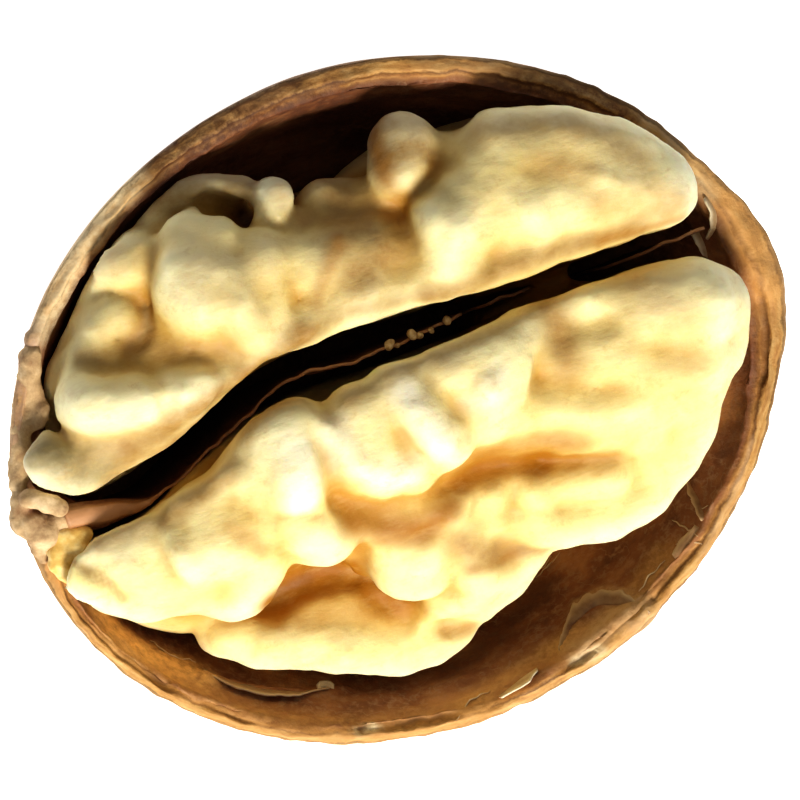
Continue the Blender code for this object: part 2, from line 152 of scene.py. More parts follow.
# Septum: its torn upper edge as (pixel x, pixel y, level) from the stalk end to the tip, and its thickness
SEPTUM_EDGE = (
    (66, 519, 1.0), (92, 514, 0.7), (120, 509, 0.4), (150, 503, 0.1), (178, 480, -1.2), (215, 446, -1.6),
    (255, 408, -0.9), (285, 383, 0.1), (308, 372, 0.7), (334, 367, 0.8), (358, 360, 0.9), (382, 350, 1.1),
    (410, 338, 1.1), (438, 326, 0.8), (462, 314, 0.2), (490, 303, -0.8), (520, 292, -2.2),
)
SEPTUM_TIP_EDGE = (
    (612, 266, -2.6), (636, 256, -1.2), (660, 246, -0.2), (690, 233, 0.4), (704, 228, 0.5),
)
SEPTUM_NECK_LEVEL = -11.6
SEPTUM_COLUMNS = 190
SEPTUM_ROWS = 26
SEPTUM_ROOT_GAP = 0.8
SEPTUM_THIN = 0.16
SEPTUM_ROOT_THICK = 1.5
SEPTUM_TORN = 0.28
SEPTUM_TORN_SIZE = 0.45
SEPTUM_CURL = 0.22

# Crumbs of skin caught on the septum: places in pixels and level, and the radius
CRUMBS = (((390, 345), 1.25, 0.22), ((397, 346), 1.1, 0.15), ((412, 336), 1.3, 0.26), ((419, 335), 1.2, 0.18),
          ((432, 330), 1.0, 0.17), ((447, 320), 0.8, 0.2))

# Corky knob at the stalk end: places in pixels and level, and the radius
KNOB_LUMPS = {
    "flap": ([(28, 499, 0.9), (42, 501, 1.2), (58, 508, 1.2)], 0.5),
    "main": ([(32, 524, 0.3), (44, 534, 0.4)], 0.85),
    "side": ([(22, 503, 0.2), (21, 524, 0.1)], 0.6),
    "foot": ([(40, 548, 0.1), (46, 555, 0.0)], 0.5),
    "ledge": ([(58, 522, 0.3), (74, 520, 0.2)], 0.55),
    "upper": ([(33, 392, -0.1), (28, 376, 0.0), (31, 356, 0.0)], 0.6),
    "upper_left": ([(25, 404, -0.2), (22, 430, -0.2)], 0.6),
    "upper_low": ([(21, 446, -0.2), (18, 484, -0.2)], 0.55),
    "left_scrap": ([(40, 408, 0.1), (38, 424, 0.0)], 0.45),
}
# Amber tissue between the knob and the seed's toe, as the knob's lumps
ROOT_LUMPS = {
    "upper": ([(60, 536, 0.5), (82, 534, 0.4)], 0.5),
    "middle": ([(58, 550, 0.5), (78, 549, 0.6)], 0.6),
    "lower": ([(58, 564, 0.6), (68, 574, 0.6)], 0.55),
}
KNOB_STEP = 0.13
KNOB_BLEND = 0.25
KNOB_GRAIN = ((0.9, 0.16), (0.35, 0.07))

# Strokes on the shell's wall and rim, as on the seed
WALL_STROKES = {
    "patch": ([(590, 645), (612, 625), (640, 615)], 1.5, 0.3),
    "patch_edge": ([(560, 655), (575, 602), (600, 588), (626, 592), (652, 610)], 0.45, 0.16),
    "patch_fold": ([(530, 690), (560, 660), (572, 640)], 0.5, 0.2),
    "rim_line": ([(752, 440), (736, 488), (716, 528), (700, 556), (660, 600)], 0.4, 0.14),
    "slot": ([(762, 303), (767, 340), (764, 378)], 0.6, -0.35),
    "tip_swell": ([(735, 235), (752, 262), (770, 285)], 1.0, 0.25),
    "tip_crack": ([(651, 135), (658, 143)], 0.4, -0.3),
    "tip_crack_low": ([(664, 152), (680, 163)], 0.4, -0.3),
    "left_crack": ([(36, 398), (39, 415), (46, 432)], 0.45, -0.5),
    "left_lump_1": ([(30, 338)], 0.7, 0.25),
    "left_lump_2": ([(26, 362)], 0.7, 0.25),
    "lower_ledge": ([(205, 676), (250, 690), (300, 694), (345, 690)], 0.6, 0.3),
    "lower_ridge": ([(120, 640), (180, 690), (260, 715), (340, 722)], 0.7, 0.2),
    "fibre_1": ([(400, 712), (470, 700), (540, 665)], 0.5, 0.14),
    "fibre_2": ([(430, 690), (500, 665), (545, 620)], 0.5, 0.14),
    "pit_1": ([(130, 645)], 0.45, -0.2),
    "pit_2": ([(152, 652)], 0.4, -0.2),
    "pit_3": ([(118, 632)], 0.35, -0.15),
    "chip_1": ([(362, 728)], 0.5, -0.35),
    "chip_2": ([(588, 657)], 0.6, -0.3),
    "chip_3": ([(655, 602)], 0.5, -0.25),
}

# Tints brushed on the shell: which tint, places in pixels, the brush's radius, and how strong. The near-black tint is
# painted shadow inside the cavity, behind the seed and along the shaded wall, over a lining that is dark itself. The
# warm and tan tints are partly the rim's and wall's own tan and partly painted light on wall that lies in shade.
SHELL_TINTS = {
    "dark_top": ("dark", [(175, 150), (240, 120), (320, 100), (360, 130)], 4.5, 0.8),
    "dark_top_right": ("dark", [(430, 90), (520, 85), (600, 100), (660, 150)], 1.6, 0.8),
    "dark_right": ("dark", [(755, 330), (752, 380), (735, 430)], 2.0, 0.5),
    "dark_low": ("dark", [(450, 672), (500, 632), (545, 585)], 1.3, 0.6),
    "dark_tip": ("dark", [(712, 225), (722, 245)], 1.2, 0.6),
    "patch": ("pale", [(588, 642), (606, 618), (636, 610)], 1.7, 0.9),
    "patch_edge": ("pale", [(575, 602), (600, 588), (626, 592), (650, 610)], 0.35, 0.8),
    "rim_line": ("pale", [(752, 440), (736, 488), (716, 528), (700, 556)], 0.3, 0.6),
    "chip_low": ("cream", [(357, 732), (375, 727)], 0.45, 1.0),
    "rim_patch": ("cream", [(574, 662), (600, 650)], 0.5, 0.9),
    "left_bits": ("pink", [(40, 330), (28, 370), (28, 400), (22, 450), (18, 490)], 1.1, 0.9),
    "base_low": ("warm", [(60, 545), (75, 560), (60, 575)], 1.2, 0.9),
    "left_low": ("tan", [(92, 598), (118, 634), (150, 656), (195, 672)], 2.3, 1.0),
    "low_right": ("warm", [(560, 650), (610, 620), (660, 560)], 1.8, 0.9),
    "low_light": ("tan", [(470, 700), (540, 655), (575, 632)], 1.3, 0.45),
    "rim_left": ("cream", [(44, 330), (60, 300), (76, 255), (102, 216), (130, 180)], 1.3, 0.8),
    "rim_right": ("cream", [(648, 130), (684, 165), (708, 192)], 1.0, 0.35),
    "bottom": ("warm", [(105, 625), (150, 660), (215, 700), (330, 728), (480, 715)], 2.2, 0.75),
    "tip_rim": ("warm", [(720, 190), (752, 240), (775, 290)], 2.0, 0.7),
}

# Torn flaps of membrane: where each is fixed, in pixels, and its free edge as (pixel x, pixel y, lift off the wall)
FLAPS = {
    "flap_low": ([(202, 668), (232, 682), (265, 690), (300, 692), (330, 690)],
                 [(206, 674, 0.25), (234, 688, 0.45), (266, 695, 0.5), (300, 696, 0.6), (328, 685, 1.1)], 0.1),
    "flap_curl": ([(318, 690), (326, 688), (334, 690)],
                  [(316, 683, 0.9), (325, 680, 1.2), (334, 683, 0.9)], 0.12),
    "flap_torn": ([(498, 697), (510, 688), (522, 678), (537, 668)],
                  [(504, 698, 0.5), (512, 692, 0.8), (526, 684, 0.7), (538, 672, 0.4)], 0.14),
    "flap_patch": ([(560, 655), (572, 625), (596, 606), (625, 604), (648, 616)],
                   [(556, 640, 0.35), (574, 602, 0.45), (600, 588, 0.5), (628, 592, 0.4), (652, 609, 0.25)], 0.1),
    "flap_tip": ([(706, 196), (716, 210), (718, 226), (708, 240)],
                 [(702, 200, 0.5), (709, 212, 0.9), (711, 226, 0.8), (703, 237, 0.5)], 0.09),
    "flap_tip_low": ([(700, 232), (706, 246), (708, 258)],
                     [(687, 229, 0.9), (694, 240, 1.0), (700, 254, 0.7)], 0.09),
    "flap_side": ([(690, 482), (700, 500), (706, 520)],
                  [(683, 484, 0.25), (692, 503, 0.3), (697, 521, 0.25)], 0.08),
    "flap_rim": ([(676, 560), (690, 545), (700, 528)],
                 [(670, 552, 0.3), (682, 538, 0.35), (693, 524, 0.25)], 0.09),
}
CREAM_FLAPS = ("flap_torn", "flap_tip", "flap_tip_low", "flap_curl")
FLAP_ROWS = 7
FLAP_STEP = 0.2
FLAP_THICKNESS = 0.09

# Threads of dry fibre lying on the wall: places in pixels, the lift off the wall, and the radius
THREADS = {
    "thread_1": ([(560, 553), (548, 566), (536, 578)], 0.35, 0.045),
    "thread_2": ([(552, 556), (542, 568), (533, 576)], 0.3, 0.035),
    "thread_3": ([(672, 520), (684, 527), (698, 536)], 0.06, 0.05),
    "thread_4": ([(676, 545), (690, 542), (702, 544)], 0.06, 0.045),
    "thread_5": ([(690, 500), (700, 508), (708, 505)], 0.06, 0.04),
    "thread_6": ([(455, 720), (470, 700), (490, 690)], 0.08, 0.045),
    "thread_7": ([(665, 560), (650, 575), (640, 592)], 0.06, 0.045),
    "thread_8": ([(150, 640), (170, 655), (196, 662)], 0.08, 0.05),
}
THREAD_SIDES = 6

# Seed
SEED_STEP = 0.27
SEED_BLEND = 0.8
MASS_BLEND = 0.5
SEED_CLEARANCE = 0.38
SEED_OVERHANG = 1.3
SEED_LOW = (-20.2, -17.0, -15.4)
SEED_HIGH = (19.8, 17.0, 6.8)
FAR_AWAY = 3.0

# The seed's inside, hidden under its folds: two ends as (x, y, level), and the radius
BODIES = {
    "far_base": ((-13.4, 6.5, -4.6), (-5.0, 6.8, -5.0), 5.4),
    "far_middle": ((-5.0, 6.8, -5.8), (4.0, 6.9, -5.8), 4.1),
    "far_tip": ((4.0, 7.6, -5.0), (12.0, 7.4, -5.0), 4.7),
    "far_belly": ((-8.0, 6.3, -9.0), (8.0, 6.3, -9.0), 4.4),
    "far_core_base": ((-13.5, 6.6, -1.4), (-5.0, 7.6, -1.0), 2.5),
    "far_core_tip": ((-5.0, 8.0, -1.0), (12.6, 8.2, -0.4), 2.6),
    "near_base": ((-13.0, -3.4, -4.8), (-4.0, -4.0, -5.2), 5.5),
    "near_tip": ((-4.0, -4.0, -5.2), (12.4, -3.0, -4.6), 5.5),
    "near_belly": ((-8.0, -4.5, -9.0), (8.0, -4.0, -9.0), 5.5),
    "near_core_base": ((-13.4, -3.2, -0.8), (-6.0, -2.4, 0.8), 2.6),
    "near_core_tip": ((-6.0, -2.4, 0.8), (12.6, -1.9, 0.6), 2.9),
    "tier_root": ((-10.0, -8.0, -5.4), (-0.6, -9.0, -5.4), 3.4),
}

# Folds and lumps that show: the middle line's places as (pixel x, pixel y, level), and the radius
MASSES = {
    # far lobe, base end
    "lip": ([(52, 460, 0.9), (80, 467, 0.8)], 1.55),
    "band": ([(92, 460, 0.3), (118, 448, 0.7), (152, 430, 1.1), (190, 406, 1.5), (226, 384, 1.9)], 1.4),
    "band_middle": ([(226, 388, 2.3), (262, 358, 2.3), (296, 330, 2.2)], 1.5),
    "lip_fill": ([(84, 438, 0.9), (122, 432, 1.2), (160, 420, 1.5)], 1.4),
    "bright_fold": ([(88, 402, 1.7), (120, 402, 2.1), (158, 396, 2.5), (192, 386, 2.7)], 1.75),
    "bright_fold_end": ([(192, 386, 2.5), (216, 376, 2.6)], 1.35),
    "cheek_low": ([(72, 380, -0.3), (80, 348, -0.4), (95, 322, -0.7)], 1.3),
    "cheek": ([(95, 318, -0.6), (103, 288, -0.5), (116, 262, -0.3), (140, 254, 0.1)], 1.3),
    "outer_grey": ([(98, 330, 0.2), (120, 316, 0.6)], 1.6),
    "outer_upper": ([(114, 270, 0.1), (140, 262, 0.6)], 1.55),
    "outer_low": ([(88, 366, 0.6), (132, 364, 1.2), (185, 356, 1.8), (225, 356, 2.0)], 1.4),
    "cheek_side": ([(160, 330, 1.0), (162, 270, 0.9)], 1.5),
    # far lobe, crown
    "crown_peak": ([(186, 248, 1.2), (212, 252, 1.4)], 1.8),
    "crown_dome": ([(194, 282, 2.2), (214, 294, 2.5)], 2.4),
    "crown_low": ([(196, 316, 2.0), (240, 320, 2.2)], 1.9),
    "crown_right": ([(258, 268, 1.7), (258, 310, 2.1), (268, 330, 2.0)], 2.0),
    "back_roll": ([(166, 222, -0.9), (167, 206, -0.9), (178, 195, -0.8), (207, 191, -0.7), (240, 194, -0.6)], 1.0),
    "back_floor": ([(172, 226, -1.2), (196, 214, -1.3), (218, 224, -2.2)], 1.95),
    "knob_top": ([(273, 195, 0.7), (275, 226, 0.9), (276, 250, 1.1)], 1.05),
    "knob_skirt": ([(280, 236, 0.4), (300, 236, 0.2)], 1.5),
    "bump_top": ([(320, 196, 0.2), (322, 214, 0.4)], 0.8),
    "knob_floor": ([(298, 226, -0.5), (304, 250, 0.6)], 1.9),
    # far lobe, saddle
    "saddle_back": ([(328, 216, -0.7), (358, 213, -0.6), (388, 214, -0.4)], 1.85),
    "saddle_middle": ([(300, 270, 1.5), (345, 262, 1.2), (390, 254, 1.0)], 2.2),
    "saddle_front": ([(300, 318, 1.9), (345, 298, 1.9), (390, 288, 1.9)], 1.65),
    # far lobe, tip end
    "finger": ([(404, 146, 0.3), (404, 172, 0.8)], 1.85),
    "tip_notch": ([(447, 166, 0.3), (480, 166, 0.6)], 1.85),
    "tip_left": ([(450, 214, 1.9), (449, 258, 2.0)], 2.25),
    "tip_crest": ([(450, 222, 2.4), (500, 206, 2.5), (560, 194, 2.3), (620, 189, 1.8), (652, 191, 1.3)], 2.3),
    "tip_back": ([(500, 152, 1.3), (560, 150, 1.5), (612, 160, 1.2), (648, 183, 0.7)], 2.3),
    "tip_edge": ([(430, 284, 2.0), (470, 270, 2.2), (520, 250, 2.1), (580, 230, 1.7), (640, 214, 1.1)], 1.6),
    "tip_fill": ([(490, 182, 1.9), (560, 172, 2.0), (615, 174, 1.6)], 2.15),
    "tip_nose": ([(640, 196, 1.0), (668, 196, 0.5)], 1.6),
    # near lobe, base end
    "toe": ([(73, 570, 1.0), (88, 578, 0.6)], 1.15),
    "toe_front": ([(86, 578, 0.4), (115, 592, 0.2), (145, 599, 0.2), (175, 593, 0.2)], 1.25),
    "toe_top": ([(100, 576, 0.6), (150, 574, 1.2)], 1.5),
    "heel": ([(108, 563, 0.8), (130, 552, 1.1), (160, 543, 1.4)], 1.5),
    "heel_rise": ([(160, 543, 1.4), (186, 524, 1.8), (208, 508, 2.1), (240, 488, 2.5)], 1.6),
    "base_back": ([(190, 550, 1.9), (240, 528, 2.4)], 2.2),
    "base_front": ([(190, 582, 0.7), (222, 590, 0.5)], 1.6),
    "base_corner": ([(255, 548, 1.6), (236, 580, 0.9)], 2.0),
    # near lobe, crests
    "first_dome": ([(287, 444, 3.2), (292, 468, 3.3)], 2.6),
    "first_low": ([(290, 500, 2.9), (318, 528, 1.9)], 2.1),
    "first_left": ([(258, 474, 2.8), (246, 504, 2.4)], 2.0),
    "second_crest": ([(358, 414, 3.7), (374, 440, 3.8), (378, 466, 3.7)], 1.75),
    "second_left": ([(336, 434, 3.4), (352, 466, 3.5)], 1.55),
    "third_crest": ([(400, 390, 3.9), (424, 412, 4.1), (440, 438, 4.0)], 1.75),
    "crest_fill": ([(386, 404, 3.4), (396, 440, 3.5)], 1.5),
    "crest_fill_tip": ([(448, 384, 3.5), (462, 408, 3.5)], 1.5),
    "third_low": ([(416, 440, 3.8), (410, 466, 3.4)], 1.5),
    "fourth_back": ([(440, 374, 3.8), (470, 364, 3.8), (500, 352, 3.7)], 1.6),
    "fourth_dome": ([(500, 366, 3.8), (490, 390, 4.0), (482, 412, 3.4)], 1.75),
    "middle_edge": ([(500, 352, 3.7), (530, 328, 3.1), (556, 312, 2.8), (588, 303, 2.7), (622, 305, 2.6)], 1.5),
    "dip_floor": ([(556, 356, 2.6), (612, 352, 2.6)], 2.2),
    "tip_band": ([(516, 402, 3.0), (550, 402, 2.6), (592, 402, 2.5), (635, 400, 2.3), (672, 390, 2.0)], 1.8),
    # near lobe, tip end
    "plateau": ([(642, 312, 2.3), (690, 306, 2.3)], 2.6),
    "plateau_low": ([(640, 366, 2.4), (688, 354, 2.1)], 2.3),
    "plateau_end": ([(711, 304, 1.4), (709, 344, 1.0)], 2.0),
    "flank": ([(690, 378, 1.2), (672, 415, 0.8), (650, 446, 0.4)], 2.1),
    # near lobe, hollow and front
    "hollow_floor": ([(460, 488, 1.5), (484, 480, 1.1), (540, 476, 0.9), (606, 470, 1.2)], 1.6),
    "hollow_slope": ([(510, 432, 2.0), (550, 428, 1.9), (600, 426, 1.9), (640, 424, 1.5)], 1.7),
    "front_tier": ([(480, 512, 0.5), (520, 520, 0.3), (565, 520, 0.2), (605, 513, 0.2)], 1.5),
    "front_tier_end": ([(605, 513, 0.2), (645, 488, 0.4), (671, 456, 0.7), (688, 425, 1.0)], 1.6),
    "slope": ([(350, 514, 2.1), (400, 512, 2.1), (446, 504, 1.8)], 1.6),
    "knob_left": ([(392, 540, 1.2), (400, 570, 0.5)], 1.55),
    "knob_right": ([(424, 538, 1.2), (418, 568, 0.6)], 1.75),
    "knob_foot": ([(444, 594, -0.9), (462, 588, -0.9)], 1.45),
    "knob_floor_left": ([(356, 540, 0.4), (372, 560, -0.2)], 1.3),
    "knob_floor": ([(456, 522, 0.8), (466, 556, 0.2)], 1.8),
    "apron": ([(520, 548, -0.7), (502, 574, -1.2), (474, 596, -1.6)], 1.55),
    "apron_back": ([(492, 545, -0.6), (470, 578, -0.9)], 1.7),
    "apron_end": ([(446, 622, -2.4), (430, 634, -2.6)], 1.75),
    # near lobe, lowest tier
    "tier_base": ([(222, 633, -2.3), (262, 640, -2.1)], 1.35),
    "tier_middle": ([(262, 640, -2.1), (330, 644, -2.1)], 1.5),
    "tier_tip": ([(345, 645, -2.1), (400, 646, -2.5)], 1.6),
    "tier_floor": ([(285, 608, -3.3), (345, 596, -3.1), (410, 606, -3.0)], 2.0),
}

# Hollows cut into the folds: the middle line's places in pixels and level, and the radius
HOLLOWS = {
    "far_pocket": ([(212, 208, 0.2), (238, 213, -0.5), (246, 220, -1.4)], 0.85),
    "tier_pocket": ([(272, 606, -1.0), (296, 585, -0.6), (330, 570, -0.8)], 0.95),
}

# Strokes that shape the seed's surface: places in pixels, the stroke's radius, and how far it raises the surface
STROKES = {
    # far lobe, base end
    "lip_tip": ([(36, 462), (60, 468)], 1.3, 0.45),
    "lip_crease": ([(30, 466), (48, 467)], 0.3, -0.25),
    "lip_to_fold_crease": ([(52, 425), (66, 436), (84, 444)], 0.7, -0.4),
    "bright_fold": ([(85, 402), (120, 410), (150, 402)], 1.4, 0.35),
    "bright_fold_end": ([(185, 393), (208, 382)], 1.1, 0.4),
    "fold_split": ([(152, 372), (164, 392), (170, 418)], 0.8, -0.4),
    "fold_crease": ([(66, 364), (105, 368), (150, 364), (200, 360), (236, 366), (232, 386), (216, 404)], 0.9, -0.2),
    "dimple_edge": ([(92, 300), (108, 290), (127, 294), (144, 306)], 0.6, -0.2),
    "dimple_side": ([(144, 308), (148, 324), (142, 340), (128, 350)], 0.6, -0.65),
    "cheek_bulge": ([(108, 262), (125, 275)], 1.2, 0.3),
    "cheek_crease": ([(152, 232), (147, 255), (149, 275), (148, 305)], 0.8, -0.22),
    "cheek_fold": ([(60, 300), (90, 318), (112, 336)], 0.6, -0.2),
    # far lobe, crown
    "crown_left": ([(168, 262)], 1.0, 0.25),
    "crown_low": ([(197, 312)], 1.5, 0.35),
    "crown_low_right": ([(243, 312), (256, 340)], 1.3, 0.3),
    "crown_split": ([(222, 288), (220, 312), (222, 340)], 1.0, -0.3),
    "crown_upper_right": ([(262, 262)], 1.4, 0.25),
    "crown_outline": ([(152, 243), (166, 224), (190, 212), (212, 215), (230, 226)], 0.6, 0.12),
    "ridge_trough": ([(158, 226), (178, 205), (205, 199), (228, 207)], 0.6, -0.35),
    "knob_ring": ([(255, 200), (262, 224), (285, 228), (296, 208)], 0.5, -0.3),
    "saddle_line": ([(335, 235), (328, 265), (318, 300), (308, 330)], 0.5, 0.3),
    "saddle_hollow": ([(358, 225), (366, 262)], 1.3, -0.12),
    "saddle_low": ([(350, 300), (385, 292)], 1.1, 0.3),
    "saddle_side": ([(300, 232), (306, 262), (295, 300)], 1.0, -0.12),
    # far lobe, tip end
    "finger_side": ([(440, 148), (434, 170), (424, 192), (400, 200)], 0.7, -0.4),
    "crown_face": ([(396, 212), (400, 240), (396, 272), (392, 300)], 1.1, -0.4),
    "tip_bright": ([(432, 225), (440, 262), (462, 232)], 1.3, 0.35),
    "tip_patch": ([(430, 188), (448, 196)], 1.1, -0.28),
    "tip_second": ([(535, 212), (545, 236)], 1.2, 0.25),
    "tip_between": ([(500, 205), (505, 235), (497, 262)], 0.9, -0.25),
    "tip_streak": ([(540, 172), (580, 168)], 1.2, -0.15),
    "tip_streak_low": ([(560, 168), (600, 175), (645, 190)], 0.6, 0.2),
    "nose_dent": ([(610, 205), (640, 215)], 1.2, -0.2),
    # near lobe, base end
    "heel_edge": ([(98, 545), (125, 530), (158, 520)], 1.0, 0.4),
    "heel_ridge": ([(178, 505), (205, 492), (230, 476)], 1.0, 0.6),
    "heel_split": ([(156, 512), (153, 535), (163, 558), (176, 585)], 0.8, -0.5),
    "toe_tip": ([(62, 575), (85, 590)], 1.1, 0.4),
    "toe_crease": ([(86, 566), (98, 578), (112, 586), (126, 600)], 0.6, -0.4),
    "base_hollow": ([(238, 535), (258, 548)], 1.0, -0.3),
    "base_bulge": ([(190, 560), (215, 580)], 1.6, 0.3),
    "base_second": ([(140, 575), (165, 595)], 1.3, 0.25),
    "base_fold": ([(178, 520), (190, 545), (214, 570), (222, 600)], 0.8, -0.35),
    "base_line_back": ([(225, 488), (232, 505), (250, 520)], 0.7, -0.3),
    "cheek_bump_low": ([(70, 372), (78, 352)], 1.0, 0.3),
    "cheek_notch": ([(52, 350), (66, 330), (74, 322)], 0.7, -0.4),
    "basin_bump": ([(92, 325), (104, 335)], 0.9, 0.3),
    "base_lines": ([(195, 575), (212, 600)], 0.4, -0.15),
    # near lobe, crests
    "first_crease": ([(318, 436), (326, 456), (334, 480), (336, 504)], 0.7, -0.35),
    "first_low_line": ([(280, 517), (320, 517)], 0.5, -0.18),
    "first_bulge": ([(292, 475), (300, 495)], 1.6, 0.3),
    "first_front": ([(300, 545), (330, 535)], 1.2, 0.3),
    "second_bulge": ([(345, 440), (353, 465)], 1.0, 0.3),
    "third_bulge": ([(412, 412), (440, 438)], 1.1, 0.4),
    "third_split": ([(398, 437), (418, 456), (438, 470)], 0.8, -0.3),
    "fourth_split": ([(430, 376), (445, 393), (458, 412)], 0.8, -0.22),
    "fourth_bulge": ([(490, 388)], 1.0, 0.35),
    "first_edge": ([(306, 458), (314, 500)], 0.8, 0.25),
    "second_ridge": ([(330, 430), (346, 448), (360, 470)], 0.7, 0.35),
    "second_low_bulge": ([(376, 478), (408, 476)], 0.9, 0.3),
    "small_ridge": ([(530, 362), (527, 380), (523, 398)], 0.45, 0.3),
    "crest_dip": ([(556, 312), (566, 340), (572, 366)], 1.7, -0.25),
    "crest_peak": ([(580, 284), (590, 300)], 0.9, 0.25),
    "bright_band": ([(560, 408), (600, 408), (640, 408)], 1.3, 0.2),
    "tip_plateau": ([(725, 305), (722, 330)], 1.2, 0.25),
    "tip_plateau_dent": ([(660, 335), (668, 352)], 1.4, -0.12),
    "tip_plateau_line": ([(690, 355), (712, 365)], 0.7, -0.2),
    "tip_flank_bulge": ([(655, 430), (640, 460)], 1.4, 0.25),
    # near lobe, hollows and front
    "under_crests": ([(348, 512), (385, 516), (415, 512), (440, 500), (458, 484)], 0.9, -0.2),
    "amber_hollow": ([(474, 474), (490, 466), (515, 461), (540, 460)], 1.3, -0.4),
    "amber_hollow_end": ([(560, 460), (596, 458)], 1.5, -0.1),
    "amber_slope": ([(385, 522), (430, 528)], 1.3, -0.35),
    "front_bulge_0": ([(450, 500), (450, 518)], 0.7, 0.3),
    "front_bulge_1": ([(494, 496), (495, 524)], 0.9, 0.4),
    "front_bulge_2": ([(534, 496), (548, 530)], 1.2, 0.35),
    "front_split_1": ([(474, 492), (473, 516)], 0.7, -0.16),
    "front_split_2": ([(513, 490), (514, 518)], 0.7, -0.14),
    "knob_bulge": ([(425, 567)], 1.1, 0.3),
    "knob_bulge_left": ([(388, 578)], 1.1, 0.3),
    "knob_side": ([(362, 545), (360, 570), (370, 597), (390, 610)], 0.7, -0.5),
    "knob_right": ([(456, 560), (454, 582)], 0.8, -0.12),
    "apron_crease": ([(518, 545), (500, 556), (472, 568)], 0.7, -0.12),
    "apron_bulge": ([(505, 580), (480, 592)], 1.1, 0.3),
    "apron_roll": ([(412, 640), (425, 618), (450, 606), (475, 612)], 0.6, 0.3),
    "apron_under": ([(450, 628), (470, 632)], 0.7, -0.5),
    "tier_split": ([(405, 615), (410, 640), (402, 668)], 0.5, -0.35),
    "tier_bulge_1": ([(222, 640)], 1.0, 0.3),
    "tier_bulge_2": ([(280, 648)], 1.2, 0.3),
    "tier_bulge_3": ([(345, 655)], 1.3, 0.25),
    "tier_step": ([(252, 628), (250, 655)], 0.6, -0.25),
    "tier_hollow": ([(276, 598), (310, 584), (350, 575)], 1.2, -0.6),
}
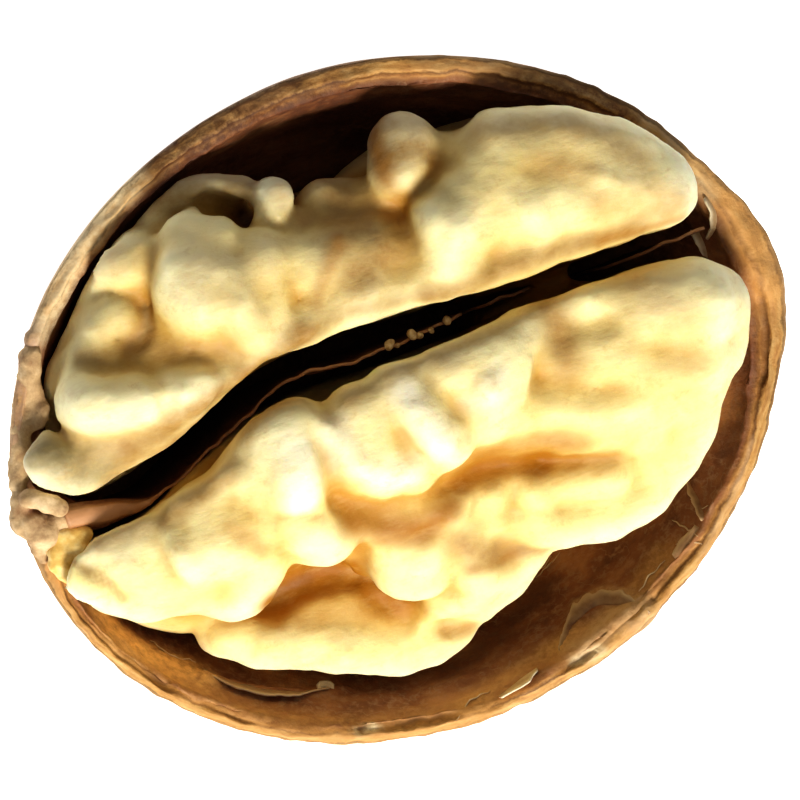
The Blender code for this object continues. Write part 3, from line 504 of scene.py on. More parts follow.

# Tints brushed on the seed's skin: which tint, places in pixels, the brush's radius, and how strong. Several of them
# paint light as well as colour: the dull, brown, amber and dark tints are mostly painted shade in hollows, creases and
# pockets, along the gap's edges and on slopes turned from the lamp. The near-white tint is a painted highlight on the
# near lobe's crests, and the yellow tint is painted shade that takes the lamp's highlight off the faces turned to it.
TINTS = {
    "basin": ("green", [(82, 335), (100, 312), (122, 312), (135, 328)], 1.7, 0.4),
    "lip": ("green", [(35, 450), (55, 452), (70, 478), (95, 472)], 2.1, 1.0),
    "lip_top": ("dull_and_shade", [(40, 452), (62, 440), (80, 452)], 1.4, 0.6),
    "notch_patch": ("green", [(422, 190), (450, 194)], 1.1, 0.45),
    "dimple_shade": ("dull_and_shade", [(146, 310), (148, 326), (140, 342), (126, 350)], 0.5, 0.9),
    "cheek_shade": ("pink", [(105, 262), (130, 258), (148, 262)], 2.0, 0.45),
    "back_roll": ("dull_and_shade", [(160, 202), (200, 192), (245, 192)], 1.2, 0.9),
    "pocket": ("dark", [(240, 214), (250, 224)], 0.9, 1.0),
    "pocket_side": ("brown", [(176, 212), (200, 204), (238, 206)], 1.0, 0.9),
    "knob_side": ("dull_and_shade", [(296, 196), (302, 222), (330, 188), (340, 206)], 1.4, 0.9),
    "saddle": ("dull_and_shade", [(340, 200), (345, 240), (365, 215), (385, 250), (360, 270)], 2.4, 1.0),
    "saddle_line": ("amber_and_shade", [(338, 240), (328, 270), (316, 305)], 0.8, 0.6),
    "fold_valley": ("dull_and_shade", [(80, 356), (148, 352), (195, 348), (238, 356), (236, 380)], 1.1, 0.75),
    "fold_slope": ("dull_and_shade", [(88, 462), (125, 446), (165, 428), (210, 402), (250, 374), (300, 335)], 1.5, 1.0),
    "fold_slope_edge": ("dull_and_shade", [(84, 496), (110, 480), (150, 456), (200, 424), (250, 388)], 1.3, 0.9),
    "finger_side": ("dull_and_shade", [(378, 125), (382, 165), (400, 150), (425, 150)], 1.5, 0.95),
    "finger_top": ("dull_and_shade", [(388, 122), (410, 124), (430, 138)], 1.5, 0.7),
    "finger_crease": ("amber_and_shade", [(372, 140), (382, 172), (402, 196), (432, 165)], 1.1, 0.7),
    "tip_streak": ("pink", [(540, 166), (585, 170)], 1.5, 0.7),
    "tip_back": ("dull_and_shade", [(480, 132), (540, 124), (600, 132), (640, 160)], 1.6, 0.75),
    "tip_edge": ("amber_and_shade", [(600, 240), (640, 232), (680, 218)], 0.7, 0.6),
    "toe_crease": ("amber_and_shade", [(66, 560), (92, 574), (110, 584), (123, 598)], 0.5, 0.6),
    "heel_top": ("dull_and_shade", [(100, 545), (128, 534), (160, 524), (200, 500), (228, 480)], 0.9, 0.7),
    "base_pink": ("pink", [(232, 528), (250, 540), (262, 550)], 0.8, 0.9),
    "first_top": ("dull_and_shade", [(250, 425), (280, 405), (320, 400)], 1.3, 0.55),
    "first_line": ("amber_and_shade", [(280, 517), (300, 519), (322, 517)], 0.35, 0.35),
    "second_top": ("dull_and_shade", [(350, 400), (395, 378), (450, 362)], 1.3, 0.4),
    "dip": ("dull_and_shade", [(548, 300), (558, 330), (566, 360)], 1.9, 0.85),
    "dip_low": ("amber_and_shade", [(552, 312), (562, 340)], 1.0, 0.35),
    "nose": ("pink", [(600, 205), (640, 198), (675, 205)], 1.6, 0.7),
    "crown_low": ("pink", [(225, 340), (255, 335)], 1.2, 0.4),
    "crown": ("pink", [(190, 236), (220, 262), (262, 262), (222, 300), (250, 330)], 2.6, 0.32),
    "knob_front": ("dull_and_shade", [(280, 186), (286, 212)], 1.3, 0.5),
    "plateau": ("pink", [(640, 285), (680, 330), (690, 365)], 2.2, 0.5),
    "hollow": ("amber_and_shade", [(460, 484), (482, 469), (510, 463), (545, 461)], 1.2, 1.0),
    "hollow_end": ("amber_and_shade", [(545, 461), (575, 460), (605, 458)], 1.3, 0.6),
    "hollow_high": ("amber_and_shade", [(482, 456), (505, 448), (540, 444), (580, 444)], 1.4, 0.6),
    "front_splits": ("amber_and_shade", [(474, 490), (473, 510)], 0.45, 0.4),
    "front_split_2": ("amber_and_shade", [(513, 490), (513, 508)], 0.45, 0.3),
    "gap_slope": ("dull_and_shade", [(430, 296), (500, 268), (560, 248), (620, 230), (665, 216)], 1.1, 0.8),
    "slope": ("amber_and_shade", [(350, 522), (385, 528), (425, 528), (452, 508)], 1.5, 0.9),
    "knob_edge": ("amber_and_shade", [(360, 540), (362, 575), (372, 597), (398, 605)], 0.7, 0.7),
    "knob_top": ("dull_and_shade", [(380, 540), (420, 538)], 1.0, 0.7),
    "apron": ("dull_and_shade", [(462, 538), (480, 556), (510, 548)], 1.8, 1.0),
    "apron_line": ("amber_and_shade", [(470, 570), (500, 560), (520, 550), (545, 548)], 0.5, 0.45),
    "apron_edge": ("green", [(522, 549), (540, 552)], 0.6, 0.5),
    "apron_under": ("amber_and_shade", [(446, 632), (470, 628)], 0.9, 0.8),
    "tier_hollow": ("amber_and_shade", [(268, 600), (295, 582), (330, 568), (352, 566), (366, 590)], 1.3, 1.0),
    "tier_shadow": ("dark", [(280, 590), (305, 580)], 0.8, 0.4),
    "tier_slope": ("amber_and_shade", [(300, 620), (350, 610), (400, 612)], 1.0, 0.45),
    "far_edge": ("brown", [(108, 470), (150, 444), (195, 416), (235, 390), (270, 364), (305, 338), (338, 316)], 1.1, 0.8),
    "far_edge_tip": ("brown", [(345, 314), (405, 302), (455, 290), (515, 264), (570, 246), (640, 232)], 0.9, 0.65),
    "near_edge": ("brown", [(168, 518), (196, 498), (236, 470), (250, 430), (274, 410), (300, 402)], 1.0, 0.6),
    "near_edge_tip": ("brown", [(346, 400), (396, 370), (446, 350), (500, 330), (540, 304), (575, 286)], 0.9, 0.5),
    "finger": ("brown", [(384, 134), (390, 165), (404, 155)], 1.3, 0.4),
    "crest_1": ("painted_highlight", [(296, 450), (306, 480), (304, 505)], 1.7, 0.5),
    "crest_2": ("painted_highlight", [(332, 430), (350, 462), (385, 478), (412, 474)], 1.6, 0.5),
    "crest_3": ("painted_highlight", [(408, 398), (424, 420), (442, 446)], 1.6, 0.55),
    "crest_4": ("painted_highlight", [(476, 400), (500, 380)], 1.3, 0.4),
    "toe_skin": ("yellow_shade", [(72, 574), (110, 590), (160, 600), (205, 590)], 1.8, 0.9),
    "tier_skin": ("yellow_shade", [(215, 640), (270, 652), (340, 658), (420, 655), (460, 630)], 1.8, 0.9),
    "knob_skin": ("yellow_shade", [(380, 580), (415, 590), (445, 575)], 1.3, 0.8),
    "front_skin": ("yellow_shade", [(470, 512), (530, 525), (600, 515), (650, 485), (690, 430)], 1.8, 0.7),
}

# Wrinkles that cover the seed: size and height, largest first
WRINKLES = ((3.4, 0.2), (1.5, 0.1), (0.7, 0.05))


def smooth_step(low, high, value):
    """0 below low, 1 above high, and an even curve between."""
    share = min(1.0, max(0.0, (value - low) / (high - low)))
    return share * share * (3.0 - 2.0 * share)


def smooth_steps(low, high, values):
    share = np.clip((values - low) / (high - low), 0.0, 1.0)
    return share * share * (3.0 - 2.0 * share)


# Camera


def camera_axes():
    """The camera's right, up and backward directions."""
    tilt, toward, turn = (math.radians(v) for v in (CAMERA_TILT, CAMERA_TOWARD, CAMERA_TOWARD - CAMERA_ROLL))
    out = Vector((math.cos(turn), math.sin(turn), 0.0))
    slope = Vector((math.cos(tilt) * out.x, math.cos(tilt) * out.y, -math.sin(tilt)))
    side = Vector((-out.y, out.x, 0.0))
    right = math.cos(toward) * slope - math.sin(toward) * side
    up = math.sin(toward) * slope + math.cos(toward) * side
    return right, up, right.cross(up)


RIGHT, UP, BACK = camera_axes()


def sight_line(px, py):
    """Where the picture's ray starts and the way it goes, in rim-level millimetres."""
    start = BACK * CAMERA_DISTANCE
    across = (px - PICTURE_PLACE[0]) / PIXELS_PER_MM
    along = (PICTURE_PLACE[1] - py) / PIXELS_PER_MM
    return start, (RIGHT * across + UP * along - start).normalized()


def seen_at(px, py, level):
    start, way = sight_line(px, py)
    return start + way * ((level - start.z) / way.z)


# Shell's shape


def taper(along):
    return 1.0 - TIP_TAPER * max(0.0, along)


def base_knob(toward):
    turn = math.degrees(math.atan2(toward.y, toward.x)) % 360.0 - BASE_KNOB_ANGLE
    below = math.degrees(math.asin(min(1.0, max(-1.0, -toward.z))))
    return math.exp(-((turn / BASE_KNOB_SPREAD) ** 2)) * (1.0 - smooth_step(0.3, 1.0, below / BASE_KNOB_DEPTH))


def cavity_round(toward, clearance=0.0):
    narrow = taper(toward.x)
    length = CAVITY_TIP_LENGTH if toward.x > 0 else CAVITY_BASE_LENGTH
    inset = clearance + WALL_SWELL * smooth_step(0.0, WALL_SWELL_DEPTH, -toward.z)
    place = Vector((
        (length - inset) * toward.x,
        (CAVITY_HALF_WIDTH - inset) * narrow * toward.y + CAVITY_OFFSET,
        (CAVITY_DEPTH - clearance) * narrow * toward.z,
    ))
    place.x += BASE_KNOB_RISE * base_knob(toward)
    return place


def gap_line(x, level):
    """The middle of the gap between the seed's lobes, as y. Takes numbers or arrays."""
    share = np.clip((x - GAP_RISE_STARTS) / GAP_RISE_LENGTH, 0.0, 1.0)
    rise = share * share * (3.0 - 2.0 * share)
    return GAP_AT_BASE + GAP_RISE * rise + GAP_LEAN * (level - GAP_LEAN_LEVEL)


def outer_round(toward):
    narrow = taper(toward.x)
    point = max(0.0, (toward.x - TIP_POINT_STARTS) / (1.0 - TIP_POINT_STARTS)) ** 2
    return Vector((
        HALF_LENGTH * toward.x + TIP_POINT * point,
        HALF_WIDTH * narrow * toward.y,
        DEPTH * narrow * toward.z,
    ))


def warp(place):
    """Three noises, one for each axis."""
    return Vector([noise.noise(place + axis * WARP_NOISE) for axis in range(3)])


def groove(place):
    """The net of grooves on the outside, 1 in the bottom of a groove and 0 between them."""
    at = Vector((place.x * GROOVE_STRETCH, place.y, place.z)) / GROOVE_CELL
    at += GROOVE_WARP * warp(at * GROOVE_WARP_DETAIL)
    distances, _ = noise.voronoi(at)
    edge = 1.0 - smooth_step(0.0, GROOVE_WIDTH, distances[1] - distances[0])
    return edge * smooth_step(*GROOVE_FADE, noise.noise(at * GROOVE_PATCH + PATCH_NOISE))


def fine_groove(place):
    """Narrow cracks and pits along the bottoms of the grooves and between them."""
    at = Vector((place.x * GROOVE_STRETCH, place.y, place.z)) / FINE_CELL
    at += FINE_WARP * warp(at * GROOVE_WARP_DETAIL)
    distances, _ = noise.voronoi(at)
    return 1.0 - smooth_step(0.0, FINE_WIDTH, distances[1] - distances[0])


def relief(place):
    """How far the outside stands out from its round at this point, and how deep in a groove it lies."""
    lumps = LUMP_HEIGHT * noise.noise(place / LUMP_SIZE)
    below_rim = smooth_step(0.4, SEAM_BAND, -place.z)
    seam = SEAM_RIDGE * (1.0 - smooth_step(0.6, SEAM_BAND, -place.z))
    from_spot = math.hypot(place.x, place.y)
    rough = smooth_step(SMOOTH_SPOT, SMOOTH_SPOT_FADE, from_spot) if place.z < 0.6 * -DEPTH else 1.0
    cut = groove(place)
    fine = fine_groove(place)
    rise = lumps - GROOVE_DEPTH * cut - FINE_DEPTH * fine * (0.3 + 0.7 * cut)
    return rise * below_rim * rough + seam, max(cut, 0.7 * fine) * below_rim * rough


def outward(toward):
    return Vector((toward.x / HALF_LENGTH, toward.y / HALF_WIDTH, toward.z / DEPTH)).normalized()


def outer_wall(toward):
    smooth = outer_round(toward)
    rise, depth = relief(smooth)
    return smooth + outward(toward) * rise, depth


def inner_wall(toward):
    place = cavity_round(toward)
    ripple = WALL_RIPPLE * noise.noise(place / RIPPLE_SIZE + RIPPLE_NOISE)
    fibre = FIBRE_HEIGHT * noise.noise(Vector((place.x / 0.5, place.y / 0.5, place.z / 2.2)))
    return place * (1.0 - (ripple + fibre) / CAVITY_DEPTH)


def rim_wave(place):
    return RIM_WAVE * noise.noise(Vector((place.x, place.y, 0.0)) / RIM_WAVE_SIZE + RIM_NOISE)


def ball_place(corner):
    """A cube's point as a compass direction and the angle from the nearer pole, in even rings up to the middle."""
    reach = max(abs(corner.x), abs(corner.y))
    if reach < 1e-6:
        return Vector((1.0, 0.0)), 0.0
    even = math.pi / 4
    compass = Vector((math.tan(corner.x / reach * even), math.tan(corner.y / reach * even))).normalized()
    on_cap = abs(corner.z) > 1.0 - 1e-6
    return compass, reach * even if on_cap else 2 * even - abs(corner.z) * even


def direction(compass, polar):
    return Vector((compass.x * math.sin(polar), compass.y * math.sin(polar), -math.cos(polar)))


def shell_point(corner):
    """A cube's point carried to the shell, how far it has come from the outside (0) over the rim to the inside (1),
    and how deep in a groove it lies."""
    compass, polar = ball_place(corner)
    rim_share = 2.0 * RIM_ROWS / SHELL_DIVISIONS
    if abs(corner.z) <= rim_share + 1e-6:
        across = 0.5 + 0.5 * corner.z / rim_share
        edge = direction(compass, math.pi / 2)
        place = outer_wall(edge)[0].lerp(inner_wall(edge), across)
        place.z += RIM_CROWN * math.sin(math.pi * across) + rim_wave(place)
        along = math.atan2(place.y, place.x)
        layer = RIM_STEP * smooth_step(*RIM_STEP_PLACE, across)
        place.z -= layer * smooth_step(-0.35, 0.1, noise.noise(Vector((place.x, place.y, 4.0)) / RIM_STEP_PATCH))
        fibre = Vector((place.x / 1.3, place.y / 1.3, across * 3.0))
        place.z += RIM_FIBRE * noise.noise(fibre) + RIM_GRAIN * noise.noise(place / 0.45)
        push = RIM_RAGGED * noise.noise(Vector((math.cos(along) * 22.0, math.sin(along) * 22.0, across * 2.0)))
        place += Vector((edge.x, edge.y, 0.0)) * push
        return place, across, 0.0
    if abs(corner.z) < 1.0 - 1e-6:
        polar = math.pi / 2 - math.pi / 4 * (abs(corner.z) - rim_share) / (1.0 - rim_share)
    toward = direction(compass, polar)
    depth = 0.0
    if corner.z < 0:
        place, depth = outer_wall(toward)
    else:
        place = inner_wall(toward)
    place.z += rim_wave(place) * (1.0 - smooth_step(0.0, RIM_WAVE_FADE, -place.z))
    return place, 0.0 if corner.z < 0 else 1.0, depth


def build_shell():
    bm = bmesh.new()
    bmesh.ops.create_cube(bm, size=2.0)
    bmesh.ops.subdivide_edges(bm, edges=bm.edges[:], cuts=SHELL_DIVISIONS - 1, use_grid_fill=True)
    bm.verts.index_update()
    inside, depths = [], []
    for vertex in bm.verts:
        place, across, depth = shell_point(vertex.co.copy())
        place.z = max(place.z, -RIM_HEIGHT)
        vertex.co = place
        inside.append(across)
        depths.append(depth)
    bmesh.ops.recalc_face_normals(bm, faces=bm.faces[:])
    stroke_wall(bm)
    points = np.array([vertex.co for vertex in bm.verts])
    wall = BVHTree.FromBMesh(bm)
    obj = mesh_object("half_shell", bm)
    add_values(obj, "inside", inside)
    add_values(obj, "groove", depths)
    add_values(obj, "along", np.arctan2(points[:, 1], points[:, 0]) * HALF_LENGTH * MM)
    add_tints(obj, SHELL_TINTS, points, lambda px, py: wall_at(wall, px, py))
    return obj, wall


def wall_at(wall, px, py):
    """The first point of the shell on the picture's ray, or the shell's nearest point where the ray passes it by."""
    hit = wall.ray_cast(*sight_line(px, py))[0]
    if hit is None:
        hit = wall.find_nearest(Vector(seen_at(px, py, 0.0)))[0]
    return np.array(hit)


def stroke_wall(bm):
    """Raises or lowers the wall and the rim along lines drawn on the picture."""
    wall = BVHTree.FromBMesh(bm)
    bm.normal_update()
    points = np.array([vertex.co for vertex in bm.verts])
    rise = np.zeros(len(points))
    for places, radius, height in WALL_STROKES.values():
        line = [wall_at(wall, px, py) for px, py in places]
        rise += height * brushed(points, line, radius)
    for vertex, height in zip(bm.verts, rise):
        vertex.co += vertex.normal * height


def brushed(points, line, radius):
    """How strongly a brush drawn along a line reaches each point: 1 on the line, 0 beyond the radius."""
    line = np.array(line)
    if len(line) == 1:
        line = np.repeat(line, 2, axis=0)
    apart = np.full(len(points), np.inf)
    for a, b in zip(line[:-1], line[1:]):
        way = b - a
        share = np.clip((points - a) @ way / max(way @ way, 1e-9), 0.0, 1.0)
        apart = np.minimum(apart, np.linalg.norm(points - a - share[:, None] * way, axis=1))
    share = np.clip(1.0 - (apart / radius) ** 2, 0.0, 1.0)
    return share * share


def add_tints(obj, tints, points, surface_at):
    """An attribute for each tint: how strongly it is brushed on at each point."""
    strengths = {}
    for tint, places, radius, strength in tints.values():
        line = [surface_at(px, py) for px, py in places]
        share = strength * brushed(points, line, radius)
        strengths[tint] = np.maximum(strengths.get(tint, 0.0), share)
    for tint, values in strengths.items():
        add_values(obj, "tint_" + tint, values)


def mesh_object(name, bm):
    """An object from a bmesh in rim-level millimetres."""
    bm.transform(Matrix.Scale(MM, 4) @ Matrix.Translation((0, 0, RIM_HEIGHT)))
    mesh = bpy.data.meshes.new(name)
    bm.to_mesh(mesh)
    bm.free()
    mesh.shade_smooth()
    obj = bpy.data.objects.new(name, mesh)
    bpy.context.scene.collection.objects.link(obj)
    return obj


# Seed


class Field:
    """Signed distances on a grid, negative inside the seed."""

    def __init__(self, low, high, step):
        self.step = step
        self.axes = [np.arange(a, b + step, step, dtype=np.float32) for a, b in zip(low, high)]
        self.low = np.array([axis[0] for axis in self.axes])
        self.values = np.full([len(axis) for axis in self.axes], FAR_AWAY, np.float32)

    def window(self, low, high):
        """The part of the grid between two corners, as slices and as the coordinates in it."""
        parts = []
        for axis, a, b in zip(self.axes, low, high):
            first = int(np.clip(np.searchsorted(axis, a) - 1, 0, len(axis)))
            last = int(np.clip(np.searchsorted(axis, b) + 1, 0, len(axis)))
            parts.append(slice(first, last))
        x = self.axes[0][parts[0]][:, None, None]
        y = self.axes[1][parts[1]][None, :, None]
        z = self.axes[2][parts[2]][None, None, :]
        return tuple(parts), x, y, z

    def near_line(self, points, reach):
        """The window round a broken line, and each of its cells' distance from the line."""
        spots = np.array(points, np.float32)
        part, x, y, z = self.window(spots.min(0) - reach, spots.max(0) + reach)
        if len(points) == 1:
            spots = np.repeat(spots, 2, axis=0)
        nearest = None
        for a, b in zip(spots[:-1], spots[1:]):
            way = b - a
            length = float(way @ way) or 1.0
            share = ((x - a[0]) * way[0] + (y - a[1]) * way[1] + (z - a[2]) * way[2]) / length
            share = np.clip(share, 0.0, 1.0)
            apart = np.sqrt(
                (x - a[0] - share * way[0]) ** 2
                + (y - a[1] - share * way[1]) ** 2
                + (z - a[2] - share * way[2]) ** 2
            )
            nearest = apart if nearest is None else np.minimum(nearest, apart)
        return part, nearest

    def join(self, points, radius, blend):
        part, apart = self.near_line(points, radius + FAR_AWAY)
        bar = apart - radius
        here = self.values[part]
        overlap = np.maximum(blend - np.abs(here - bar), 0.0) / blend
        self.values[part] = np.minimum(here, bar) - overlap * overlap * blend / 4

    def hollow(self, points, radius, blend):
        part, apart = self.near_line(points, radius + FAR_AWAY)
        bar = radius - apart
        here = self.values[part]
        overlap = np.maximum(blend - np.abs(here - bar), 0.0) / blend
        self.values[part] = np.maximum(here, bar) + overlap * overlap * blend / 4

    def cut(self, wall, blend):
        overlap = np.maximum(blend - np.abs(self.values - wall), 0.0) / blend
        self.values = np.maximum(self.values, wall) + overlap * overlap * blend / 4

    def stroke(self, places, radius, height):
        """Raises the surface along a line drawn on the picture, or lowers it where the height is negative."""
        line = [self.surface_at(px, py) for px, py in places]
        part, apart = self.near_line(line, radius)
        share = np.clip(1.0 - (apart / radius) ** 2, 0.0, 1.0)
        self.values[part] -= height * share * share

    def sample(self, spots):
        """The field at many points, evened out between the grid's cells."""
        at = (np.asarray(spots, float) - self.low) / self.step
        limit = np.array(self.values.shape) - 1.001
        at = np.clip(at, 0.0, limit)
        cell = at.astype(int)
        share = at - cell
        total = np.zeros(len(at))
        for corner in range(8):
            side = np.array([corner & 1, corner >> 1 & 1, corner >> 2 & 1])
            weight = np.prod(np.where(side, share, 1.0 - share), axis=1)
            index = cell + side
            total += weight * self.values[index[:, 0], index[:, 1], index[:, 2]]
        return total

    def surface_at(self, px, py):
        """The first point of the surface on the picture's ray, or where the ray passes closest to it."""
        start, way = sight_line(px, py)
        low, high = (SEED_HIGH[2] - start.z) / way.z, (SEED_LOW[2] * 0.5 - start.z) / way.z
        lengths = np.linspace(low, high, 400)
        spots = np.array(start) + np.outer(lengths, np.array(way))
        values = self.sample(spots)
        inside = np.nonzero(values < 0.0)[0]
        if len(inside) == 0 or inside[0] == 0:
            return spots[int(np.argmin(values))]
        after = inside[0]
        share = values[after - 1] / (values[after - 1] - values[after])
        return spots[after - 1] + share * (spots[after] - spots[after - 1])


def room_wall(field):
    """How far each cell lies outside the room that the seed may fill."""
    x, y, z = field.axes[0][:, None, None], field.axes[1][None, :, None], field.axes[2][None, None, :]
    depth = np.minimum(z, 0.0)
    narrow = 1.0 - TIP_TAPER * np.clip(x / HALF_LENGTH, 0.0, 1.0)
    length = np.where(x > 0, CAVITY_TIP_LENGTH, CAVITY_BASE_LENGTH)
    across = y - CAVITY_OFFSET
    first = np.sqrt((x / length) ** 2 + (across / CAVITY_HALF_WIDTH) ** 2 + (depth / CAVITY_DEPTH) ** 2) + 1e-6
    swell = WALL_SWELL * smooth_steps(0.0, WALL_SWELL_DEPTH, -depth / CAVITY_DEPTH / first)
    inset = SEED_CLEARANCE + swell - SEED_OVERHANG * smooth_steps(0.7, 1.6, z)
    turn = np.degrees(np.arctan2(across, x)) % 360.0 - BASE_KNOB_ANGLE
    below = np.degrees(np.arcsin(np.clip(-depth / CAVITY_DEPTH / first, 0.0, 1.0)))
    knob = np.exp(-((turn / BASE_KNOB_SPREAD) ** 2)) * (1.0 - smooth_steps(0.3, 1.0, below / BASE_KNOB_DEPTH))
    share = np.sqrt(
        (x / (length - inset - BASE_KNOB_RISE * knob)) ** 2
        + (across / (CAVITY_HALF_WIDTH * narrow - inset)) ** 2
        + (depth / ((CAVITY_DEPTH - SEED_CLEARANCE) * narrow)) ** 2
    ) + 1e-6
    reach = np.sqrt(x ** 2 + across ** 2 + depth ** 2)
    return ((share - 1.0) * reach / share).astype(np.float32)


def gap_wall(field):
    """How far each cell lies inside the gap between the lobes, away from the neck that joins them."""
    x, y, z = field.axes[0][:, None, None], field.axes[1][None, :, None], field.axes[2][None, None, :]
    wide = GAP_WIDTH + (GAP_WIDTH_TIP - GAP_WIDTH) * smooth_steps(*GAP_NARROWS, x)
    gap = wide / 2 - np.abs(y - gap_line(x, z)) * math.cos(math.atan(GAP_LEAN))
    neck = np.maximum(
        np.abs(x - (NECK_START + NECK_END) / 2) - (NECK_END - NECK_START) / 2,
        np.abs(z - (NECK_TOP + NECK_BOTTOM) / 2) - (NECK_TOP - NECK_BOTTOM) / 2,
    )
    return np.minimum(gap, neck).astype(np.float32)


def net_surface(field):
    """The field's zero surface as points and four-sided faces: one point in each cell that the surface crosses."""
    values = field.values
    inside = values < 0.0
    corners = [inside[i:inside.shape[0] - 1 + i, j:inside.shape[1] - 1 + j, k:inside.shape[2] - 1 + k]
               for i in (0, 1) for j in (0, 1) for k in (0, 1)]
    count = sum(corner.astype(np.uint8) for corner in corners)
    active = (count > 0) & (count < 8)
    cells = np.argwhere(active)
    number = np.full(active.shape, -1, np.int64)
    number[tuple(cells.T)] = np.arange(len(cells))
    total = np.zeros((len(cells), 3))
    crossings = np.zeros(len(cells))
    for axis in range(3):
        others = [a for a in range(3) if a != axis]
        for u in (0, 1):
            for v in (0, 1):
                first = np.zeros(3, int)
                first[others[0]], first[others[1]] = u, v
                second = first.copy()
                second[axis] = 1
                a = values[tuple((cells + first).T)]
                b = values[tuple((cells + second).T)]
                crossed = (a < 0) != (b < 0)
                share = np.where(crossed, a / np.where(crossed, a - b, 1.0), 0.0)
                spot = first + np.outer(share, second - first)
                total[crossed] += spot[crossed]
                crossings += crossed
    points = (cells + total / crossings[:, None]) * field.step + field.low
    faces = []
    for axis in range(3):
        others = [(axis + 1) % 3, (axis + 2) % 3]
        before = [slice(1, -1)] * 3
        before[axis] = slice(0, -1)
        after = [slice(1, -1)] * 3
        after[axis] = slice(1, None)
        low, high = inside[tuple(before)], inside[tuple(after)]
        for goes_in in (True, False):
            crossed = np.argwhere((low != high) & (high == goes_in))
            base = crossed.copy()
            base[:, others[0]] += 1
            base[:, others[1]] += 1
            ring = []
            for u, v in ((0, 0), (-1, 0), (-1, -1), (0, -1)):
                cell = base.copy()
                cell[:, others[0]] += u
                cell[:, others[1]] += v
                ring.append(number[tuple(cell.T)])
            quad = np.stack(ring, axis=1)
            faces.append(quad[:, ::-1] if goes_in else quad)
    return points, np.concatenate(faces)


def even_out(points, faces, rounds, strength=0.5):
    """Moves each point towards the mean of its neighbours."""
    ends = np.concatenate([faces[:, [i, (i + 1) % 4]] for i in range(4)])
    ends = np.concatenate([ends, ends[:, ::-1]])
    count = np.bincount(ends[:, 0], minlength=len(points))
    for _ in range(rounds):
        mean = np.stack([
            np.bincount(ends[:, 0], weights=points[ends[:, 1], axis], minlength=len(points)) for axis in range(3)
        ], axis=1) / count[:, None]
        points = points + strength * (mean - points)
    return points


def point_normals(points, faces):
    across = np.cross(points[faces[:, 2]] - points[faces[:, 0]], points[faces[:, 3]] - points[faces[:, 1]])
    normals = np.stack([
        sum(np.bincount(faces[:, i], weights=across[:, axis], minlength=len(points)) for i in range(4))
        for axis in range(3)
    ], axis=1)
    return normals / np.maximum(np.linalg.norm(normals, axis=1, keepdims=True), 1e-9)


def blurred(solid, cells):
    """A box blur of that many cells to each side, three times over."""
    for _ in range(3):
        for axis in range(3):
            total = np.cumsum(np.pad(solid, [(cells + 1, cells) if a == axis else (0, 0) for a in range(3)],
                                     mode="edge"), axis=axis, dtype=np.float64)
            high = np.take(total, range(2 * cells + 1, total.shape[axis]), axis=axis)
            low = np.take(total, range(0, total.shape[axis] - 2 * cells - 1), axis=axis)
            solid = ((high - low) / (2 * cells + 1)).astype(np.float32)
    return solid


def hollowness(field, points, cells):
    """How deep in a hollow each point lies: 0 on the flat, above it in a hollow, below it on a ridge."""
    solid = np.clip(0.5 - field.values / field.step, 0.0, 1.0)
    soft = Field.__new__(Field)
    soft.step, soft.low, soft.values = field.step, field.low, blurred(solid, cells)
    return 2.0 * soft.sample(points) - 1.0


def seed_field():
    field = Field(SEED_LOW, SEED_HIGH, SEED_STEP)
    for start, end, radius in BODIES.values():
        field.join([start, end], radius, SEED_BLEND)
    for places, radius in MASSES.values():
        field.join([seen_at(*place) for place in places], radius, MASS_BLEND)
    for places, radius in HOLLOWS.values():
        field.hollow([seen_at(*place) for place in places], radius, MASS_BLEND)
    field.cut(gap_wall(field), 0.5)
    for places, radius, height in STROKES.values():
        field.stroke(places, radius, height)
    field.cut(room_wall(field), 0.2)
    return field


def wrinkle(points, normals):
    moved = np.empty_like(points)
    for index, (spot, normal) in enumerate(zip(points, normals)):
        place = Vector(spot)
        rise = 0.0
        for size, height in WRINKLES:
            rise += height * noise.noise(place / size)
        moved[index] = spot + normal * rise
    return moved


def new_mesh(name, points, faces):
    """A mesh object from rim-level millimetres and four-sided faces."""
    mesh = bpy.data.meshes.new(name)
    spots = (np.asarray(points) + np.array([0.0, 0.0, RIM_HEIGHT])) * MM
    mesh.vertices.add(len(spots))
    mesh.vertices.foreach_set("co", spots.astype(np.float32).ravel())
    mesh.loops.add(faces.size)
    mesh.loops.foreach_set("vertex_index", faces.astype(np.int32).ravel())
    mesh.polygons.add(len(faces))
    mesh.polygons.foreach_set("loop_start", np.arange(0, faces.size, faces.shape[1], dtype=np.int32))
    mesh.update(calc_edges=True)
    mesh.validate()
    mesh.shade_smooth()
    obj = bpy.data.objects.new(name, mesh)
    bpy.context.scene.collection.objects.link(obj)
    return obj


def add_values(obj, name, values):
    layer = obj.data.attributes.new(name, "FLOAT", "POINT")
    layer.data.foreach_set("value", np.asarray(values, np.float32))


def build_seed():
    field = seed_field()
    points, faces = net_surface(field)
    points = even_out(points, faces, 3)
    smooth_points = points
    small = hollowness(field, points, 2)
    large = hollowness(field, points, 6)
    points = wrinkle(points, point_normals(points, faces))
    obj = new_mesh("seed", points, faces)
    # Hollowness at two sizes, for the painted shade in hollows and creases and the painted highlight on ridges.
    add_values(obj, "crease_shade", small)
    add_values(obj, "hollow", large)
    add_tints(obj, TINTS, smooth_points, field.surface_at)
    print("seed", len(points), "points", 2 * len(faces), "triangles")
    return obj


# Septum


def floor_level(x, y):
    """The level of the cavity's floor under a point."""
    length = CAVITY_TIP_LENGTH if x > 0 else CAVITY_BASE_LENGTH
    along = x / (length - WALL_SWELL)
    narrow = taper(along)
    across = (y - CAVITY_OFFSET) / ((CAVITY_HALF_WIDTH - WALL_SWELL) * narrow)
    return -CAVITY_DEPTH * narrow * math.sqrt(max(0.0, 1.0 - along * along - across * across))


def septum_edge(points):
    """Numbers to read the torn edge from: x, level, and how far it lies from the gap's middle."""
    places = [seen_at(*point) for point in points]
    return [(p.x, p.z, p.y - float(gap_line(p.x, p.z))) for p in places]


